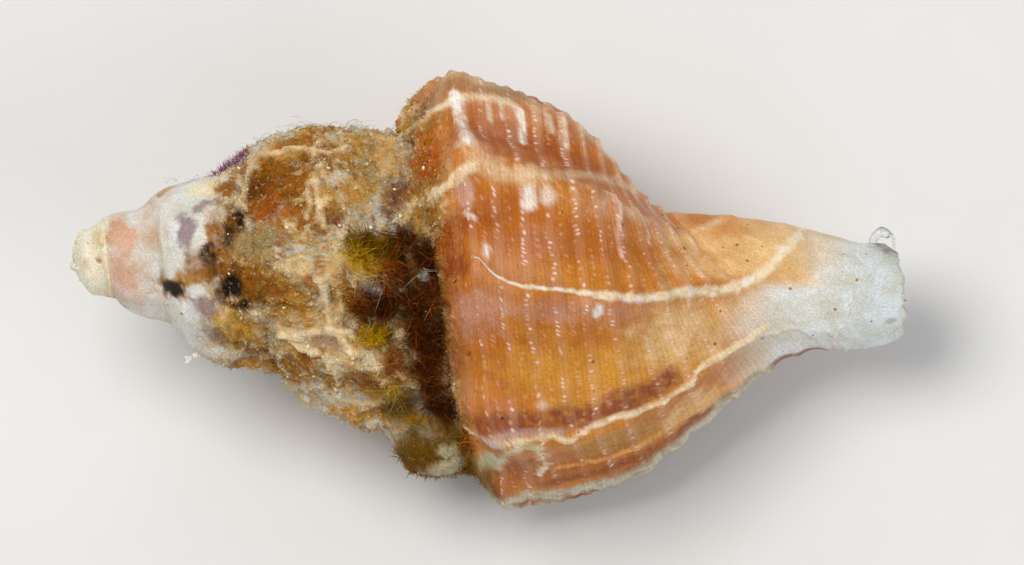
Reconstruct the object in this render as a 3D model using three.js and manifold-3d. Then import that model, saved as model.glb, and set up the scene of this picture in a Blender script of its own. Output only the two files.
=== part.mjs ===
import * as THREE from 'three';
import { mergeVertices } from 'three/addons/utils/BufferGeometryUtils.js';
import Module from 'manifold-3d';

const { clamp, degToRad, euclideanModulo, lerp, smoothstep } = THREE.MathUtils;
const wasm = await Module();
wasm.setup();

// Kurtzia shell: a small dextral sea snail shell of five whorls, lying aperture down.
// It grew as one piece, so it is one closed solid: the outer face of every whorl, the
// aperture and canal with their thin wall, and the low crust and lump that sit on the spire.
// Units are millimetres. The shell is laid out along +X, apex first, with
// angle 0 at +Y, 90 at +Z (the back of the shell) and 180 at -Y (the outer lip's side).

// Driving dimensions
const SHELL_LENGTH = 8.0;
const LIP_ANGLE = 202;
const LIP_FADE = 108;
const DEEP_ANGLE = -2;
const TURNS = 5;
const ROWS_PER_TURN = 60;
const WALL = 0.09;
const LIP_WALL = 0.05;
const CANAL_BEND = 0.12;
const CANAL_BEND_START = 6.3;
const CANAL_BEND_END = 8.6;
const RIBS_PER_TURN = 10;
const FIRST_RIB_ANGLE = 94;
const LATE_RIB_STEP = 49;
const RIB_SUNK = 0.55;
const CORD_HEIGHT = 0.015;
const CRUST_HEIGHT = 0.035;

// Suture and shoulder, as [distance from the apex, radius], one entry per half turn.
const SUTURE = [
  [0.00, 0.02], [0.02, 0.08], [0.06, 0.15], [0.27, 0.37], [0.44, 0.40], [0.71, 0.56], [1.00, 0.63],
  [1.54, 0.94], [2.08, 1.02], [3.12, 1.24], [3.85, 1.50], [4.54, 1.57], [5.26, 1.90], [5.93, 2.04],
];
const SHOULDER = [
  [0.03, 0.13], [0.09, 0.25], [0.21, 0.37], [0.56, 0.46], [0.74, 0.58], [1.17, 0.79],
  [1.48, 0.98], [2.25, 1.27], [2.84, 1.52], [3.50, 1.85], [4.24, 2.13], [4.83, 2.36],
];
const FIRST_HALF_TURN = -1;
const BODY_HALF_TURN = 8;

// Base of a whorl and its canal: where the neck is, how the base runs into it, and the tip.
const COLUMELLA = { neckX: 6.03, neckRadius: 0.25, lead: -1.8, tipRadius: 0.10 };
const BACK_BASE = { neckX: 5.72, neckRadius: 0.61, lead: -0.35, tipRadius: 0.37 };
const LIP_BASE = { neckX: 7.28, neckRadius: 0.57, lead: -0.55, tipRadius: 0.41 };
const COLUMELLA_END = 7.12;
const BASE_FORMED = 7.65;

// Values along the profile, from the suture (0) by the shoulder (1), the lower suture (2)
// and the neck (3) to the canal's tip (4).
// A growth line's lead and the lip edge's lead over a straight line are in degrees, a rib's height is a share
// of the radius there.
const GROWTH_LINE = [
  [0, 5], [0.6, 2], [1, -4], [1.4, 1], [2, 5], [2.4, 5], [2.8, -2], [3.1, -8], [3.6, 0], [4, 0],
];
const LIP_LINE = [
  [0, 5], [0.3, -20], [0.6, -27], [0.9, -10], [1.2, -4], [1.6, -7], [2.2, -12], [2.8, -12], [3.3, -4], [4, 0],
];
const RIB_HEIGHT = [[0, 0.03], [0.5, 0.08], [1, 0.13], [1.5, 0.12], [2, 0.1], [2.5, 0.06], [3.1, 0], [4, 0]];

// Lump of weed-covered dirt that fills the corner between the spire and the lip.
const LUMP = { x: 3.62, angle: 180, radius: 1.93, halfLength: 0.47, halfAngle: 19 };

// How the shell lies, in degrees: rolled towards the lip, its canal dipped. It is worn flat where it touches.
const REST_ROLL = 18;
const REST_DIP = 5.5;
const REST_FLAT = 0.07;

const STEP = 360 / ROWS_PER_TURN;
const LAST_ROW = TURNS * ROWS_PER_TURN;
const LIP_START_ROW = LAST_ROW - ROWS_PER_TURN;
const DEEP_ROW = LAST_ROW - Math.round((LIP_ANGLE - DEEP_ANGLE) / STEP);

// Columns of the surface: 3 steps to the shoulder, 4 to the lower suture, 12 on the base, 4 on the canal.
const COLUMNS = [0, ...steps(0, 1, 3), ...steps(1, 2, 4), ...steps(2, 3, 12), ...steps(3, 4, 4)];
const LOWER_SUTURE = COLUMNS.indexOf(2);
const LAST_COLUMN = COLUMNS.length - 1;

const sutureCurve = new THREE.SplineCurve(SUTURE.map(([x, r]) => new THREE.Vector2(x, r)));
const shoulderCurve = new THREE.SplineCurve(SHOULDER.map(([x, r]) => new THREE.Vector2(x, r)));

function steps(from, to, count) {
  return Array.from({ length: count }, (_, k) => from + ((to - from) * (k + 1)) / count);
}

function curveAt(curve, halfTurn) {
  const last = curve.points.length - 1;
  return curve.getPoint(clamp((halfTurn - FIRST_HALF_TURN) / last, 0, 1));
}

function along(table, v) {
  const next = table.findIndex(([at]) => at >= v);
  if (next <= 0) return table[Math.max(next, 0)][1];
  const [v0, a] = table[next - 1];
  const [v1, b] = table[next];
  return lerp(a, b, smoothstep(v, v0, v1));
}

function mixBase(a, b, share) {
  const mixed = {};
  for (const key of Object.keys(a)) mixed[key] = lerp(a[key], b[key], share);
  return mixed;
}

function baseAt(halfTurn) {
  const towardsLip = smoothstep(halfTurn, BODY_HALF_TURN, BODY_HALF_TURN + 1);
  const back = mixBase(BACK_BASE, LIP_BASE, towardsLip);
  return mixBase(COLUMELLA, back, smoothstep(halfTurn, COLUMELLA_END, BASE_FORMED));
}

function tipX(halfTurn) {
  return SHELL_LENGTH - 0.04 * (1 + Math.cos(Math.PI * halfTurn));
}

// Smooth profile of the whorl: distance from the apex and radius, without ribs or cords.
function profile(halfTurn, v) {
  const upper = curveAt(sutureCurve, halfTurn);
  const lower = curveAt(sutureCurve, halfTurn + 2);
  const shoulder = curveAt(shoulderCurve, halfTurn);
  if (v <= 1) {
    const turn = (v * Math.PI) / 2;
    return new THREE.Vector2(
      lerp(upper.x, shoulder.x, (v + 1 - Math.cos(turn)) / 2),
      lerp(upper.y, shoulder.y, (v + Math.sin(turn)) / 2),
    );
  }
  if (v <= 2) {
    return new THREE.Vector2(
      lerp(shoulder.x, lower.x, v - 1),
      lerp(shoulder.y, lower.y, (v - 1) ** 1.6),
    );
  }
  const base = baseAt(halfTurn);
  if (v <= 3) {
    const t = v - 2;
    const fall = 2 * t ** 3 - 3 * t ** 2 + 1 + base.lead * (t ** 3 - 2 * t ** 2 + t);
    return new THREE.Vector2(
      lerp(lower.x, base.neckX, t),
      base.neckRadius + (lower.y - base.neckRadius) * fall,
    );
  }
  return new THREE.Vector2(
    lerp(base.neckX, tipX(halfTurn), v - 3),
    lerp(base.neckRadius, base.tipRadius, (v - 3) ** 2.2),
  );
}

// Axial ribs: 0 between two ribs, 1 on a crest.
function ribShape(angle) {
  const spacing = angle < FIRST_RIB_ANGLE ? 360 / RIBS_PER_TURN : LATE_RIB_STEP;
  const phase = (angle - FIRST_RIB_ANGLE) / spacing;
  const distance = Math.abs(phase - Math.round(phase));
  return 0.45 * Math.cos(Math.PI * distance) ** 2 + 0.55 * Math.exp(-((distance / 0.17) ** 2));
}

function ribRelief(angle, halfTurn, v) {
  const grown = smoothstep(halfTurn, 3.2, 6);
  const height = along(RIB_HEIGHT, v) * (0.25 + 0.75 * grown) * smoothstep(halfTurn, 1, 3);
  return height * (ribShape(angle) - RIB_SUNK);
}

// Spiral cords stand on every other column from the shoulder to the neck.
function cordRelief(column, halfTurn) {
  const v = COLUMNS[column];
  if (v < 1 || v > 3) return 0;
  const side = (column - COLUMNS.indexOf(1)) % 2 === 0 ? 1 : -1;
  return side * CORD_HEIGHT * smoothstep(halfTurn, 2, 6);
}

// Low lumps of crust over the spire, and the one large lump beside the lip.
function withCrust(x, radius, angle) {
  const turn = degToRad(angle);
  const over = smoothstep(x, 0.7, 1.4) * (1 - smoothstep(x, 2.9, 3.4));
  const broad = Math.sin(7.1 * x + 3 * turn) * Math.cos(4 * turn - 5.3 * x);
  const fine = 0.6 * Math.sin(11 * x - 5 * turn);
  const crusted = radius + CRUST_HEIGHT * over * (0.4 + broad + fine);
  const away = euclideanModulo(angle - LUMP.angle + 180, 360) - 180;
  const lump = Math.exp(-(((x - LUMP.x) / LUMP.halfLength) ** 6) - (away / LUMP.halfAngle) ** 4);
  return lerp(crusted, Math.max(crusted, LUMP.radius), lump);
}

function angleOfRow(row) {
  return LIP_ANGLE - (LAST_ROW - row) * STEP;
}

function shiftedAngle(row, v) {
  const angle = angleOfRow(row);
  const nearLip = smoothstep(angle, LIP_ANGLE - LIP_FADE, LIP_ANGLE);
  return angle + lerp(along(GROWTH_LINE, v), along(LIP_LINE, v), nearLip);
}

function place(x, radius, angle) {
  const turn = degToRad(angle);
  const bend = CANAL_BEND * smoothstep(x, CANAL_BEND_START, CANAL_BEND_END);
  return new THREE.Vector3(x, radius * Math.cos(turn) - bend, radius * Math.sin(turn));
}

function outerPoint(row, column) {
  const v = COLUMNS[column];
  const angle = shiftedAngle(row, v);
  const halfTurn = BODY_HALF_TURN + angle / 180;
  const { x, y: radius } = profile(halfTurn, v);
  const relief = radius * ribRelief(angleOfRow(row), halfTurn, v) + cordRelief(column, halfTurn);
  const open = row > LIP_START_ROW ? v <= 1 : v <= 2;
  return place(x, open ? withCrust(x, radius + relief, angle) : radius + relief, angle);
}

// Inner face of the wall: smooth, a wall's thickness below the floor between the ribs, and nearer
// the outer face towards the lip's edge.
function innerPoint(row, column) {
  const v = COLUMNS[column];
  const angle = shiftedAngle(row, v);
  const halfTurn = BODY_HALF_TURN + angle / 180;
  const nearLip = smoothstep(angleOfRow(row), LIP_ANGLE - LIP_FADE / 3, LIP_ANGLE);
  const wall = lerp(WALL, LIP_WALL, nearLip);
  const sunk = lerp(RIB_SUNK, RIB_SUNK - ribShape(LIP_ANGLE), nearLip);
  const here = profile(halfTurn, v);
  const before = profile(halfTurn, Math.max(v - 0.05, 0));
  const after = profile(halfTurn, Math.min(v + 0.05, 4));
  const run = v > 3 ? new THREE.Vector2(1, 0) : after.sub(before).normalize();
  const radius = here.y * (1 - sunk * along(RIB_HEIGHT, v));
  return place(here.x + wall * run.y, radius - wall * run.x, angle);
}

const positions = [];
const triangles = [];
const known = new Map();

function addPoint(point) {
  positions.push(point.x, point.y, point.z);
  return positions.length / 3 - 1;
}

function remember(key, makePoint) {
  if (!known.has(key)) known.set(key, addPoint(makePoint()));
  return known.get(key);
}

// A whorl's lower suture is the next whorl's upper suture, so the two rows share that vertex.
function outer(row, column) {
  if (column === LOWER_SUTURE && row + ROWS_PER_TURN <= LAST_ROW) return outer(row + ROWS_PER_TURN, 0);
  return remember(`outer ${row} ${column}`, () => outerPoint(row, column));
}

// Inside, the wall starts on the whorl before, just below its suture.
function inner(row, column) {
  if (column === 0) return outer(row - ROWS_PER_TURN, LOWER_SUTURE + 1);
  return remember(`inner ${row} ${column}`, () => innerPoint(row, column));
}

function addQuad(a, b, c, d) {
  triangles.push(a, b, c, a, c, d);
}

function addStrip(fromRow, toRow, fromColumn, toColumn) {
  for (let row = fromRow; row < toRow; row += 1) {
    for (let column = fromColumn; column < toColumn; column += 1) {
      addQuad(outer(row, column), outer(row + 1, column), outer(row + 1, column + 1), outer(row, column + 1));
    }
  }
}

function addApex() {
  const apex = addPoint(new THREE.Vector3(-0.01, 0, 0));
  for (let row = 0; row < ROWS_PER_TURN; row += 1) {
    triangles.push(outer(row + 1, 0), outer(row, 0), apex);
  }
  for (let column = 0; column < LOWER_SUTURE; column += 1) {
    triangles.push(outer(0, column), outer(0, column + 1), apex);
  }
}

function addOuterFaces() {
  addStrip(0, LAST_ROW, 0, LOWER_SUTURE);
  addStrip(LIP_START_ROW, LAST_ROW, LOWER_SUTURE, LOWER_SUTURE + 1);
  addStrip(DEEP_ROW - ROWS_PER_TURN, LAST_ROW, LOWER_SUTURE + 1, LAST_COLUMN);
}

function addInnerWall() {
  for (let row = DEEP_ROW; row < LAST_ROW; row += 1) {
    for (let column = 0; column < LAST_COLUMN; column += 1) {
      addQuad(inner(row, column), inner(row, column + 1), inner(row + 1, column + 1), inner(row + 1, column));
    }
  }
}

function addLipEdge() {
  for (let column = 0; column < LAST_COLUMN; column += 1) {
    addQuad(
      outer(LAST_ROW, column + 1), outer(LAST_ROW, column),
      inner(LAST_ROW, column), inner(LAST_ROW, column + 1),
    );
  }
}

// The deep end of the cavity is closed between the columella and the inside of the wall.
function addDeepEnd() {
  const loop = [];
  for (let column = LOWER_SUTURE + 1; column <= LAST_COLUMN; column += 1) {
    loop.push(outer(DEEP_ROW - ROWS_PER_TURN, column));
  }
  for (let column = LAST_COLUMN; column > 0; column -= 1) loop.push(inner(DEEP_ROW, column));
  const flat = loop.map((index) => {
    const [x, y, z] = positions.slice(index * 3, index * 3 + 3);
    return new THREE.Vector2(x, Math.hypot(y, z));
  });
  for (const corners of THREE.ShapeUtils.triangulateShape(flat, [])) {
    triangles.push(...corners.map((corner) => loop[corner]));
  }
}

// The canal's open tip: the wall's rim, and the solid end of the columella around it.
function addTip() {
  const centre = addPoint(place(tipX(BODY_HALF_TURN + 0.5), 0, 0));
  for (let row = DEEP_ROW; row < LAST_ROW; row += 1) {
    addQuad(
      outer(row, LAST_COLUMN), outer(row + 1, LAST_COLUMN),
      inner(row + 1, LAST_COLUMN), inner(row, LAST_COLUMN),
    );
  }
  for (let row = DEEP_ROW - ROWS_PER_TURN; row < DEEP_ROW - 1; row += 1) {
    triangles.push(outer(row, LAST_COLUMN), outer(row + 1, LAST_COLUMN), centre);
  }
  const corner = outer(DEEP_ROW - 1, LAST_COLUMN);
  const wallOut = outer(DEEP_ROW, LAST_COLUMN);
  const wallIn = inner(DEEP_ROW, LAST_COLUMN);
  const columella = outer(DEEP_ROW - ROWS_PER_TURN, LAST_COLUMN);
  triangles.push(corner, wallOut, wallIn, corner, wallIn, columella, corner, columella, centre);
}

addApex();
addOuterFaces();
addInnerWall();
addLipEdge();
addDeepEnd();
addTip();

function toSolid(shape) {
  return new wasm.Manifold(new wasm.Mesh({
    numProp: 3,
    vertProperties: shape.attributes.position.array,
    triVerts: new Uint32Array(shape.index.array),
  }));
}

function toGeometry(solid) {
  const { vertProperties, triVerts } = solid.getMesh();
  const shape = new THREE.BufferGeometry();
  shape.setAttribute('position', new THREE.BufferAttribute(vertProperties, 3));
  shape.setIndex(new THREE.BufferAttribute(triVerts, 1));
  return shape;
}

function makeBlock(width, depth, height) {
  const block = new THREE.BoxGeometry(width, depth, height);
  block.deleteAttribute('normal');
  block.deleteAttribute('uv');
  return mergeVertices(block);
}

// Lay the shell down: turn it, wear the spots that touch flat, and centre it over the origin.
function layDown(shape) {
  const roll = degToRad(REST_ROLL);
  const dip = degToRad(REST_DIP);
  shape.applyMatrix4(new THREE.Matrix4().makeRotationFromEuler(new THREE.Euler(roll, dip, 0, 'YXZ')));
  shape.computeBoundingBox();
  const { min, max } = shape.boundingBox;
  const centre = new THREE.Vector3().addVectors(min, max).divideScalar(2);
  shape.translate(-centre.x, -centre.y, -min.z - REST_FLAT);
  const below = makeBlock(3 * SHELL_LENGTH, 3 * SHELL_LENGTH, SHELL_LENGTH);
  below.translate(0, 0, -SHELL_LENGTH / 2);
  return toGeometry(toSolid(shape).subtract(toSolid(below)));
}

const grown = new THREE.BufferGeometry();
grown.setAttribute('position', new THREE.Float32BufferAttribute(positions, 3));
grown.setIndex(triangles);
const geometry = layDown(grown);
geometry.computeVertexNormals();

const shell = new THREE.Mesh(
  geometry,
  new THREE.MeshStandardMaterial({ color: 0xb9773c, roughness: 0.55, metalness: 0 }),
);
shell.name = 'shell';

const group = new THREE.Group();
group.add(shell);

export default group;
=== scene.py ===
import functools
import math

import bmesh
import bpy
import numpy as np
from bpy.props import FloatProperty, FloatVectorProperty, IntProperty, PointerProperty
from bpy.types import Operator, Panel, PropertyGroup
from mathutils import Euler, Matrix, Vector, noise


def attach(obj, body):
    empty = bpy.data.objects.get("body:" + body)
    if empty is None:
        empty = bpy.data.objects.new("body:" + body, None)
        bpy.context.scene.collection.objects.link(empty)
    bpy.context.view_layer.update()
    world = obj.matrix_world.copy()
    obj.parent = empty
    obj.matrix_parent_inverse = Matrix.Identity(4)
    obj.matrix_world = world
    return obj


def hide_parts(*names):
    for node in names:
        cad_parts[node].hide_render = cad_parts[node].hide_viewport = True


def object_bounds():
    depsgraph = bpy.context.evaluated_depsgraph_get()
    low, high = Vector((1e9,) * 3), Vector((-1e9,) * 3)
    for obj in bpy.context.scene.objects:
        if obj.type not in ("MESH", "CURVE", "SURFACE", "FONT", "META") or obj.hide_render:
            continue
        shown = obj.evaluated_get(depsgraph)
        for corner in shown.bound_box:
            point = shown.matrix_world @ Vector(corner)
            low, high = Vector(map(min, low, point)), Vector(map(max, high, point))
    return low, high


bl_info = {
    "name": "Kurtzia shell",
    "version": (1, 0, 0),
    "blender": (4, 5, 0),
    "location": "3D View > Sidebar > Kurtzia shell",
    "description": "Grows a small ribbed sea snail shell with its crust, weed and grains",
    "category": "Add Mesh",
}

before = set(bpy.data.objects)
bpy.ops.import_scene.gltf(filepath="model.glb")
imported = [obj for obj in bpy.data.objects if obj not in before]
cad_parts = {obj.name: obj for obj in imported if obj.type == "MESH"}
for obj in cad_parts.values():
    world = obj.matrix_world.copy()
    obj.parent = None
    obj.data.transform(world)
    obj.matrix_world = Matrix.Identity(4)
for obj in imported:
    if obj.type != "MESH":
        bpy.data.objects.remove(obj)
CAD_LOW, CAD_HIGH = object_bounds()

# The coil, in millimetres and degrees. It lies along +X, apex first, with angle 0 at +Y,
# 90 at +Z (the back of the shell) and 180 at -Y (the outer lip's side).
MM = 0.001
SHELL_LENGTH = 8.0
LIP_ANGLE = 202
LIP_FADE = 108
DEEP_ANGLE = -2
TURNS = 5
WALL = 0.09
LIP_WALL = 0.05
CANAL_BEND = 0.12
CANAL_BEND_START = 6.3
CANAL_BEND_END = 8.6
FIRST_RIB_ANGLE = 94
RIB_STEP = 36
LATE_RIB_STEP = 49
RIB_SUNK = 0.55
CRISP_FROM = 66
BODY_HALF_TURN = 8
FIRST_HALF_TURN = -1
COLUMELLA_END = 7.12
BASE_FORMED = 7.65
REST_ROLL = 18
REST_DIP = 5.5

# Suture and shoulder, as distance from the apex and radius, one entry per half turn.
SUTURE = np.array([
    (0.00, 0.02), (0.02, 0.08), (0.06, 0.15), (0.27, 0.37), (0.44, 0.40), (0.71, 0.56), (1.00, 0.63),
    (1.54, 0.94), (2.08, 1.02), (3.12, 1.24), (3.85, 1.50), (4.54, 1.57), (5.26, 1.90), (5.93, 2.04),
])
SHOULDER = np.array([
    (0.03, 0.13), (0.09, 0.25), (0.21, 0.37), (0.56, 0.46), (0.74, 0.58), (1.17, 0.79),
    (1.48, 0.98), (2.25, 1.27), (2.84, 1.52), (3.50, 1.85), (4.24, 2.13), (4.83, 2.36),
])

# Base of a whorl: where its neck is, the neck's radius, how the base runs into it, the tip's radius.
COLUMELLA = np.array((6.03, 0.25, -1.8, 0.10))
BACK_BASE = np.array((5.72, 0.61, -0.35, 0.37))
LIP_BASE = np.array((7.28, 0.57, -0.55, 0.41))

# Values along the profile: suture 0, shoulder 1, lower suture 2, neck 3, tip 4.
GROWTH_LINE = np.array([
    (0, 5), (0.6, 2), (1, -4), (1.4, 1), (2, 5), (2.4, 5), (2.8, -2), (3.1, -8), (3.6, 0), (4, 0),
])
LIP_LINE = np.array([
    (0, 5), (0.3, -20), (0.6, -27), (0.9, -10), (1.2, -4), (1.6, -7), (2.2, -12), (2.8, -12), (3.3, -4),
    (4, 0),
])
RIB_HEIGHT = np.array([
    (0, 0.03), (0.5, 0.08), (1, 0.13), (1.5, 0.12), (2, 0.1), (2.5, 0.06), (3.1, 0), (4, 0),
])
CORDS = np.array([(0, 0), (1, 6), (2, 14), (3, 28), (4, 36)])

# How fine the surface is: rows round one turn on its hidden and shown sides, and columns
# between the suture, the shoulder, the lower suture, the neck and the tip.
HIDDEN_FROM = -20
HIDDEN_ROWS = 64
SHOWN_ROWS = 280
ROW_STRIDES = (8, 4, 2, 1, 1)
COLUMN_COUNTS = (24, 26, 52, 34)

# Where the photograph's pixels lie on the coil: the apex, the scale and the tilt.
APEX_ACROSS = 73
APEX_DOWN = 256
MM_PER_PIXEL = 0.0096154
PHOTO_TILT = math.atan(0.035)
BROAD_MARK = 16
PHOTO_WIDTH = 1024
PHOTO_HEIGHT = 565
PHOTO_RIGHT = np.array((math.cos(PHOTO_TILT), math.sin(PHOTO_TILT), 0.0))
PHOTO_DOWN = np.array((math.sin(PHOTO_TILT), -math.cos(PHOTO_TILT), 0.0))


# Small helpers

def smooth(value, start, end):
    share = np.clip((value - start) / (end - start), 0, 1)
    return share * share * (3 - 2 * share)


def blend(below, above, share):
    share = np.asarray(share)[..., None]
    return below * (1 - share) + above * share


def along(table, v):
    after = np.clip(np.searchsorted(table[:, 0], v, side="left"), 1, len(table) - 1)
    a, b = table[after - 1], table[after]
    return a[..., 1] + (b[..., 1] - a[..., 1]) * smooth(v, a[..., 0], b[..., 0])


def curve_at(table, half_turn):
    """A smooth curve through the table's points, one for each half turn."""
    last = len(table) - 1
    place = np.clip(half_turn - FIRST_HALF_TURN, 0, last)
    i = np.minimum(place.astype(int), last)
    w = (place - i)[..., None]
    p0, p1 = table[np.maximum(i - 1, 0)], table[i]
    p2, p3 = table[np.minimum(i + 1, last)], table[np.minimum(i + 2, last)]
    v0, v1 = (p2 - p0) / 2, (p3 - p1) / 2
    return (2 * p1 - 2 * p2 + v0 + v1) * w ** 3 + (-3 * p1 + 3 * p2 - 2 * v0 - v1) * w ** 2 + v0 * w + p1


def cloud(points, size, seed, octaves=3):
    """Soft noise from about -1 to 1, with lumps of the given size."""
    moved = points / size + np.array((seed * 7.3, seed * 3.1, seed * 5.7))
    return np.array([noise.fractal(Vector(p), 0.8, 2.1, octaves) for p in moved])


def ridges(points, size, seed):
    """Noise with thin crests, from 0 to 1, as in wrinkled crust."""
    return 1 - np.clip(np.abs(cloud(points, size, seed, 4)) * 3, 0, 1)


def linear(colour):
    """A colour as it is picked on screen, as light."""
    c = np.array(colour, float)
    return np.where(c <= 0.04045, c / 12.92, ((c + 0.055) / 1.055) ** 2.4)


# The shell's form

def base_at(half_turn):
    towards_lip = smooth(half_turn, BODY_HALF_TURN, BODY_HALF_TURN + 1)
    back = blend(BACK_BASE, LIP_BASE, towards_lip)
    return blend(COLUMELLA, back, smooth(half_turn, COLUMELLA_END, BASE_FORMED))


def profile(half_turn, v):
    """Distance from the apex and radius of the smooth whorl."""
    upper, lower = curve_at(SUTURE, half_turn), curve_at(SUTURE, half_turn + 2)
    shoulder = curve_at(SHOULDER, half_turn)
    t = np.clip(v, 0, 1)
    x = upper[..., 0] + (shoulder[..., 0] - upper[..., 0]) * (t + 1 - np.cos(t * np.pi / 2)) / 2
    r = upper[..., 1] + (shoulder[..., 1] - upper[..., 1]) * (t + np.sin(t * np.pi / 2)) / 2
    t = np.clip(v - 1, 0, 1)
    x = np.where(v > 1, shoulder[..., 0] + (lower[..., 0] - shoulder[..., 0]) * t, x)
    r = np.where(v > 1, shoulder[..., 1] + (lower[..., 1] - shoulder[..., 1]) * t ** 1.6, r)
    base = base_at(half_turn)
    neck_x, neck_radius, lead, tip_radius = base[..., 0], base[..., 1], base[..., 2], base[..., 3]
    t = np.clip(v - 2, 0, 1)
    fall = 2 * t ** 3 - 3 * t ** 2 + 1 + lead * (t ** 3 - 2 * t ** 2 + t)
    x = np.where(v > 2, lower[..., 0] + (neck_x - lower[..., 0]) * t, x)
    r = np.where(v > 2, neck_radius + (lower[..., 1] - neck_radius) * fall, r)
    t = np.clip(v - 3, 0, 1)
    tip_x = SHELL_LENGTH - 0.04 * (1 + np.cos(np.pi * half_turn))
    x = np.where(v > 3, neck_x + (tip_x - neck_x) * t, x)
    r = np.where(v > 3, neck_radius + (tip_radius - neck_radius) * t ** 2.2, r)
    return x, r


def shifted(row_angle, v):
    """The angle of a growth line at v, where it leads or trails its row."""
    near_lip = smooth(row_angle, LIP_ANGLE - LIP_FADE, LIP_ANGLE)
    return row_angle + along(GROWTH_LINE, v) * (1 - near_lip) + along(LIP_LINE, v) * near_lip


def rib_distance(row_angle):
    """How far a row is from the nearest rib's crest, from 0 to half a rib."""
    step = np.where(row_angle < FIRST_RIB_ANGLE, RIB_STEP, LATE_RIB_STEP)
    phase = (row_angle - FIRST_RIB_ANGLE) / step
    return np.abs(phase - np.round(phase))


def rib_shape(row_angle):
    """A rib's profile, broad and soft at first, narrower from the fourth rib of the body whorl on."""
    away = rib_distance(row_angle)
    narrow = 0.2 + 0.35 * smooth(row_angle, CRISP_FROM, FIRST_RIB_ANGLE)
    return (1 - narrow) * np.cos(np.pi * away) ** 2 + narrow * np.exp(-((away / 0.17) ** 2))


def cord_number(v):
    """Which spiral row a place lies on. Every second row below the suture is a strong cord."""
    return np.interp(v, CORDS[:, 0], CORDS[:, 1])


def from_photo(across, down, towards=0.0):
    """The place on the coil that a pixel shows, at a given distance towards the viewer."""
    flat = (across - APEX_ACROSS) * PHOTO_RIGHT + (down - APEX_DOWN) * PHOTO_DOWN
    return flat * MM_PER_PIXEL + np.array((0.0, 0.0, towards))


def place(x, radius, angle):
    turn = np.radians(angle)
    bend = CANAL_BEND * smooth(x, CANAL_BEND_START, CANAL_BEND_END)
    return np.stack([x, radius * np.cos(turn) - bend, radius * np.sin(turn)], -1)


def whorl(row_angle, v):
    """Points of the outer face with its ribs, before crust and cords."""
    angle = shifted(row_angle, v)
    half_turn = BODY_HALF_TURN + angle / 180
    x, radius = profile(half_turn, v)
    grown = (0.25 + 0.75 * smooth(half_turn, 3.2, 6)) * smooth(half_turn, 1, 3)
    radius = radius * (1 + along(RIB_HEIGHT, v) * grown * (rib_shape(row_angle) - RIB_SUNK))
    return place(x, radius, angle)


def inside(row_angle, v):
    """Points of the inner face: the smooth profile moved inwards, thinner at the lip."""
    angle = shifted(row_angle, v)
    half_turn = BODY_HALF_TURN + angle / 180
    near_lip = smooth(row_angle, LIP_ANGLE - LIP_FADE / 3, LIP_ANGLE)
    wall = WALL + (LIP_WALL - WALL) * near_lip
    sunk = RIB_SUNK - rib_shape(np.array(LIP_ANGLE)) * near_lip
    x, radius = profile(half_turn, v)
    radius = radius * (1 - sunk * along(RIB_HEIGHT, v))
    x0, r0 = profile(half_turn, np.maximum(v - 0.05, 0))
    x1, r1 = profile(half_turn, np.minimum(v + 0.05, 4))
    length = np.hypot(x1 - x0, r1 - r0)
    run_x = np.where(v > 3, 1, (x1 - x0) / length)
    run_r = np.where(v > 3, 0, (r1 - r0) / length)
    return place(x + wall * run_r, radius - wall * run_x, angle)


def outward(row_angle, v):
    """Unit normals of the outer face."""
    round_it = whorl(row_angle + 0.3, v) - whorl(row_angle - 0.3, v)
    down_it = whorl(row_angle, np.minimum(v + 0.01, 4)) - whorl(row_angle, np.maximum(v - 0.01, 0))
    normal = np.cross(down_it, round_it)
    normal /= np.maximum(np.linalg.norm(normal, axis=-1, keepdims=True), 1e-12)
    turn = np.radians(shifted(row_angle, v))
    out = np.stack([np.zeros_like(turn), np.cos(turn), np.sin(turn)], -1)
    return normal * np.sign(np.sum(normal * out, -1, keepdims=True) + 1e-9)


# The surface's grid

def zip_rows(one, other, one_at, other_at):
    """Triangles between two rows of vertices with different spacing."""
    made = []
    i = j = 0
    while i < len(one) - 1 or j < len(other) - 1:
        step_one = j == len(other) - 1 or (i < len(one) - 1 and one_at[i + 1] <= other_at[j + 1])
        if step_one:
            made.append((one[i], other[j], one[i + 1]))
            i += 1
        else:
            made.append((one[i], other[j], other[j + 1]))
            j += 1
    return [t for t in made if len(set(t)) == 3]


def turned_over(faces):
    return [face[::-1] for face in faces]


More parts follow.
